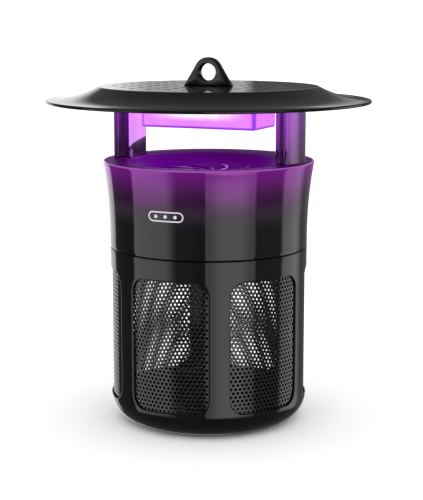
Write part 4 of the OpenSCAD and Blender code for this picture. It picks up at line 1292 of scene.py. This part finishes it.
class TRAP_OT_housing(bpy.types.Operator):
    """Builds the fan housing with its ring, the funnel and the posts"""

    bl_idname = "trap.housing"
    bl_label = "Build housing"

    def execute(self, context):
        body, made = context.scene.trap_body, bpy.data.materials
        make_piece(
            "housing", housing_surface(body), made["look_housing_black"], "head",
            ["upper_housing"],
        )
        make_piece(
            "funnel", funnel_surface(body), made["look_inner_black"], "head",
            ["intake_funnel"],
        )
        joint, gap = body.post_joint / MM, 0.1
        core = post_outline(body, body.post_inner / MM, joint - gap, grooved=True)
        cover = post_outline(body, joint + gap, POST_OUT)
        z0, z1, fillet = RING_Z + gap, TRAY_Z - gap, body.post_foot / MM
        for side, turn in (("right", 0.0), ("left", np.pi)):
            for part, outline in (("core", core), ("cover", cover)):
                surface = turned(post_surface(outline, z0, z1, fillet), turn)
                make_piece(
                    "post_%s_%s_skin" % (side, part), surface, made["look_post_black"], "head",
                    ["post_%s_%s" % (side, part)],
                )
        return {"FINISHED"}


class TRAP_OT_lamp(bpy.types.Operator):
    """Builds the lamp's lit cover"""

    bl_idname = "trap.lamp"
    bl_label = "Build lamp"

    def execute(self, context):
        make_piece(
            "lamp_cover_shell", lamp_surface(context.scene.trap_lamp),
            bpy.data.materials["look_lamp_cover"], "head", ["led_cover"], SHARP_SHELL,
        )
        return {"FINISHED"}


class TRAP_OT_basket(bpy.types.Operator):
    """Builds the basket and its perforated windows"""

    bl_idname = "trap.basket"
    bl_label = "Build basket"

    def execute(self, context):
        body, window, made = context.scene.trap_body, context.scene.trap_window, bpy.data.materials
        make_piece(
            "basket_skin", basket_surface(body, window), made["look_gloss_black"], "basket",
            ["basket_shell", "basket_bowl", "basket_neck"], SHARP_SHELL,
        )
        panel = panel_surface(window)
        for k in range(window.number):
            surface = turned(panel, k * TURN / window.number)
            make_piece(
                "perforated_%d" % (k + 1), surface, made["look_mesh_black"], "basket",
                ["mesh_panel_%d" % (k + 1)],
            )
        return {"FINISHED"}


# ---- studio ----

WHITE = (1.0, 1.0, 1.0)
FLOOR_R, FLOOR_DROP = 6000.0, 0.05

# how bright each part of the room looks in a reflection, and how bright the whole room is as soft light
WALL_DARK, SKY_DARK = 0.2, 0.11
BELOW, FLAG, OVERHEAD = 0.12, 0.09, 0.15
ROOM = 1.38

# a panel's start and end in degrees round from the camera, the softness of each, and the brightness that
# the panel adds to the dark
WALL_PANELS = (
    (-181.6, -138.0, 0.7, 2.0, 1.15),
    (-136.0, -97.0, 2.0, 1.0, -0.10),
    (-95.0, -44.0, 1.5, 9.0, 1.3),
    (-18.0, -4.5, 8.0, 0.7, -0.07),
    (-3.5, 55.0, 0.7, 2.0, 0.85),
    (8.0, 44.0, 10.0, 9.0, 0.80),
    (94.0, 127.0, 3.0, 11.0, 1.25),
    (178.4, 220.0, 0.7, 0.7, 1.05),
)
SKY_PANELS = (
    (-240.0, -176.6, 0.7, 1.2, 0.35),
    (-176.6, -140.0, 1.2, 3.0, 1.05),
    (-95.0, -44.0, 1.5, 9.0, 1.0),
    (-3.5, 55.0, 0.7, 4.0, 1.0),
    (94.0, 134.0, 2.0, 4.0, 1.1),
    (174.5, 178.4, 6.0, 0.6, 1.00),
    (178.4, 240.0, 0.6, 0.7, 0.35),
)


def panel_light(turn, panels, dark):
    """Brightness of upright light panels at an angle round from the camera."""
    light = dark
    for start, end, soft, soft_end, added in panels:
        past = turn.ramp(end - soft_end, end + soft_end)
        light = turn.ramp(start - soft, start + soft) * (1.0 - past) * added + light
    return light


def mixed(tree, share, first, second):
    """Two shaders, mixed."""
    return tree.node("ShaderNodeMixShader", 0, {0: share, 1: first, 2: second})


def studio_world(azimuth):
    """White for the camera and for soft light, and upright light panels for reflections.

    The panels differ above and below the horizon. A flag darkens the sky behind the object, and a dark
    ceiling starts over it.
    """
    world = bpy.data.worlds.new("studio")
    bpy.context.scene.world = world
    tree = Tree(world)
    way = tree.node("ShaderNodeTexCoord", "Generated")
    x, y, z = (tree.node("ShaderNodeSeparateXYZ", axis, {0: way}) for axis in "XYZ")
    a = np.radians(azimuth)
    ahead, side = x * np.sin(a) - y * np.cos(a), x * np.cos(a) + y * np.sin(a)
    angle = tree.node("ShaderNodeMath", "Value", {0: side, 1: ahead}, operation="ARCTAN2")
    turn = angle * (360 / TURN)
    walls = panel_light(turn, WALL_PANELS, WALL_DARK)
    below = 1.0 - z.ramp(-0.52, -0.36)
    walls = walls * (1.0 - below) + below * BELOW
    sky = panel_light(turn, SKY_PANELS, SKY_DARK)
    flag = turn.ramp(171.0, 172.0) * (1.0 - turn.ramp(178.0, 178.8)) * (1.0 - z.ramp(0.066, 0.085))
    sky = sky * (1.0 - flag) + flag * FLAG
    behind = abs(turn).ramp(177.6, 178.6)
    over = (z.ramp(0.13, 0.31)).high(behind * z.ramp(0.08, 0.14))
    sky = sky * (1.0 - over) + over * OVERHEAD
    upper = z.ramp(0.0, 0.02)
    light = walls * (1.0 - upper) + sky * upper
    panels, paper, room = (
        tree.node("ShaderNodeBackground", 0, {"Color": WHITE, "Strength": strength})
        for strength in (light, 1.0, ROOM)
    )
    rays = tree.node("ShaderNodeLightPath", None).outputs
    camera, soft = Socket(tree, rays["Is Camera Ray"]), Socket(tree, rays["Is Diffuse Ray"])
    both = mixed(tree, camera, mixed(tree, soft, panels, room), paper)
    tree.node("ShaderNodeOutputWorld", None, {"Surface": both})


def floor_material():
    """Smooth white paper with a faint tooth."""
    made, tree = material("floor_white")
    tooth = tree.noise(90.0, 3.0)
    tree.surface(
        base_color=tree.mix(tooth, (0.96, 0.96, 0.96), (0.98, 0.98, 0.98)),
        roughness=0.9 + tooth * 0.1, specular_ior_level=0.0,
    )
    return made


def add_floor():
    """A flat disc just under the object, which the camera sees and reflections don't."""
    r = np.r_[0.0, np.linspace(50, FLOOR_R, 16)][:, None]
    angles = round_angles(48)
    points = np.stack([r * np.cos(angles), r * np.sin(angles), 0 * r - FLOOR_DROP + 0 * angles], -1)
    flat, quads = grid(points, close_columns=True)
    mesh = bpy.data.meshes.new("floor")
    mesh.from_pydata((flat * MM).tolist(), [], quads[:, ::-1].tolist())
    mesh.validate()
    mesh.materials.append(floor_material())
    floor = bpy.data.objects.new("floor", mesh)
    bpy.context.scene.collection.objects.link(floor)
    floor.visible_glossy = False


def add_lamp_light(settings):
    """The light that the lamp casts downwards, seen only by what it falls on."""
    light = bpy.data.lights.new("lamp_glow", "AREA")
    light.shape, light.size, light.size_y = "RECTANGLE", settings.light_width, settings.light_depth
    light.color, light.energy = settings.light, settings.power
    lamp = bpy.data.objects.new("lamp_glow", light)
    lamp.location = (0, 0, (LAMP_Z - 1.0) * MM)
    lamp.visible_camera = lamp.visible_glossy = False
    bpy.context.scene.collection.objects.link(lamp)


def add_camera(stage):
    """The camera, at an angle round the trap and tilted down."""
    lens = bpy.data.cameras.new("camera")
    lens.lens, lens.shift_x, lens.clip_start = stage.lens, stage.shift, 0.01
    camera = bpy.data.objects.new("camera", lens)
    a = np.radians(stage.azimuth)
    camera.location = (stage.distance * np.sin(a), -stage.distance * np.cos(a), stage.height)
    camera.rotation_euler = Euler((np.radians(90 - stage.pitch), 0, a), "XYZ")
    bpy.context.scene.collection.objects.link(camera)
    bpy.context.scene.camera = camera


class TRAP_OT_stage(bpy.types.Operator):
    """Builds the floor, the light and the camera"""

    bl_idname = "trap.stage"
    bl_label = "Build studio"

    def execute(self, context):
        scene = context.scene
        scene.view_settings.view_transform = "Standard"
        studio_world(scene.trap_stage.azimuth)
        add_floor()
        add_lamp_light(scene.trap_lamp)
        add_camera(scene.trap_stage)
        return {"FINISHED"}


class TRAP_PT_main(bpy.types.Panel):
    """The trap's sizes and build steps"""

    bl_idname = "TRAP_PT_main"
    bl_label = "Insect trap"
    bl_space_type = "VIEW_3D"
    bl_region_type = "UI"
    bl_category = "Insect trap"

    def draw(self, context):
        for name, group in GROUPS:
            box = self.layout.box()
            box.label(text=group.__doc__)
            settings = getattr(context.scene, name)
            for key in group.__annotations__:
                box.prop(settings, key)
        for operator in OPERATORS:
            self.layout.operator(operator.bl_idname)


GROUPS = (
    ("trap_canopy", TRAP_PG_canopy), ("trap_body", TRAP_PG_body), ("trap_window", TRAP_PG_window),
    ("trap_lamp", TRAP_PG_lamp), ("trap_stage", TRAP_PG_stage),
)
OPERATORS = (
    TRAP_OT_materials, TRAP_OT_canopy, TRAP_OT_housing, TRAP_OT_lamp, TRAP_OT_basket, TRAP_OT_stage,
)


def register():
    """Registers the classes and hangs the settings on the scene."""
    for name, group in GROUPS:
        bpy.utils.register_class(group)
        setattr(bpy.types.Scene, name, bpy.props.PointerProperty(type=group))
    for item in (*OPERATORS, TRAP_PT_main):
        bpy.utils.register_class(item)


def unregister():
    """Takes it all away again."""
    for item in (TRAP_PT_main, *reversed(OPERATORS)):
        bpy.utils.unregister_class(item)
    for name, group in reversed(GROUPS):
        delattr(bpy.types.Scene, name)
        bpy.utils.unregister_class(group)


def main():
    """Builds everything in order."""
    register()
    for operator in OPERATORS:
        step = operator.bl_idname.split(".")[1]
        if getattr(bpy.ops.trap, step)() != {"FINISHED"}:
            raise RuntimeError(operator.bl_label + " did not finish")
    bpy.context.view_layer.update()


if __name__ == "__main__":
    main()
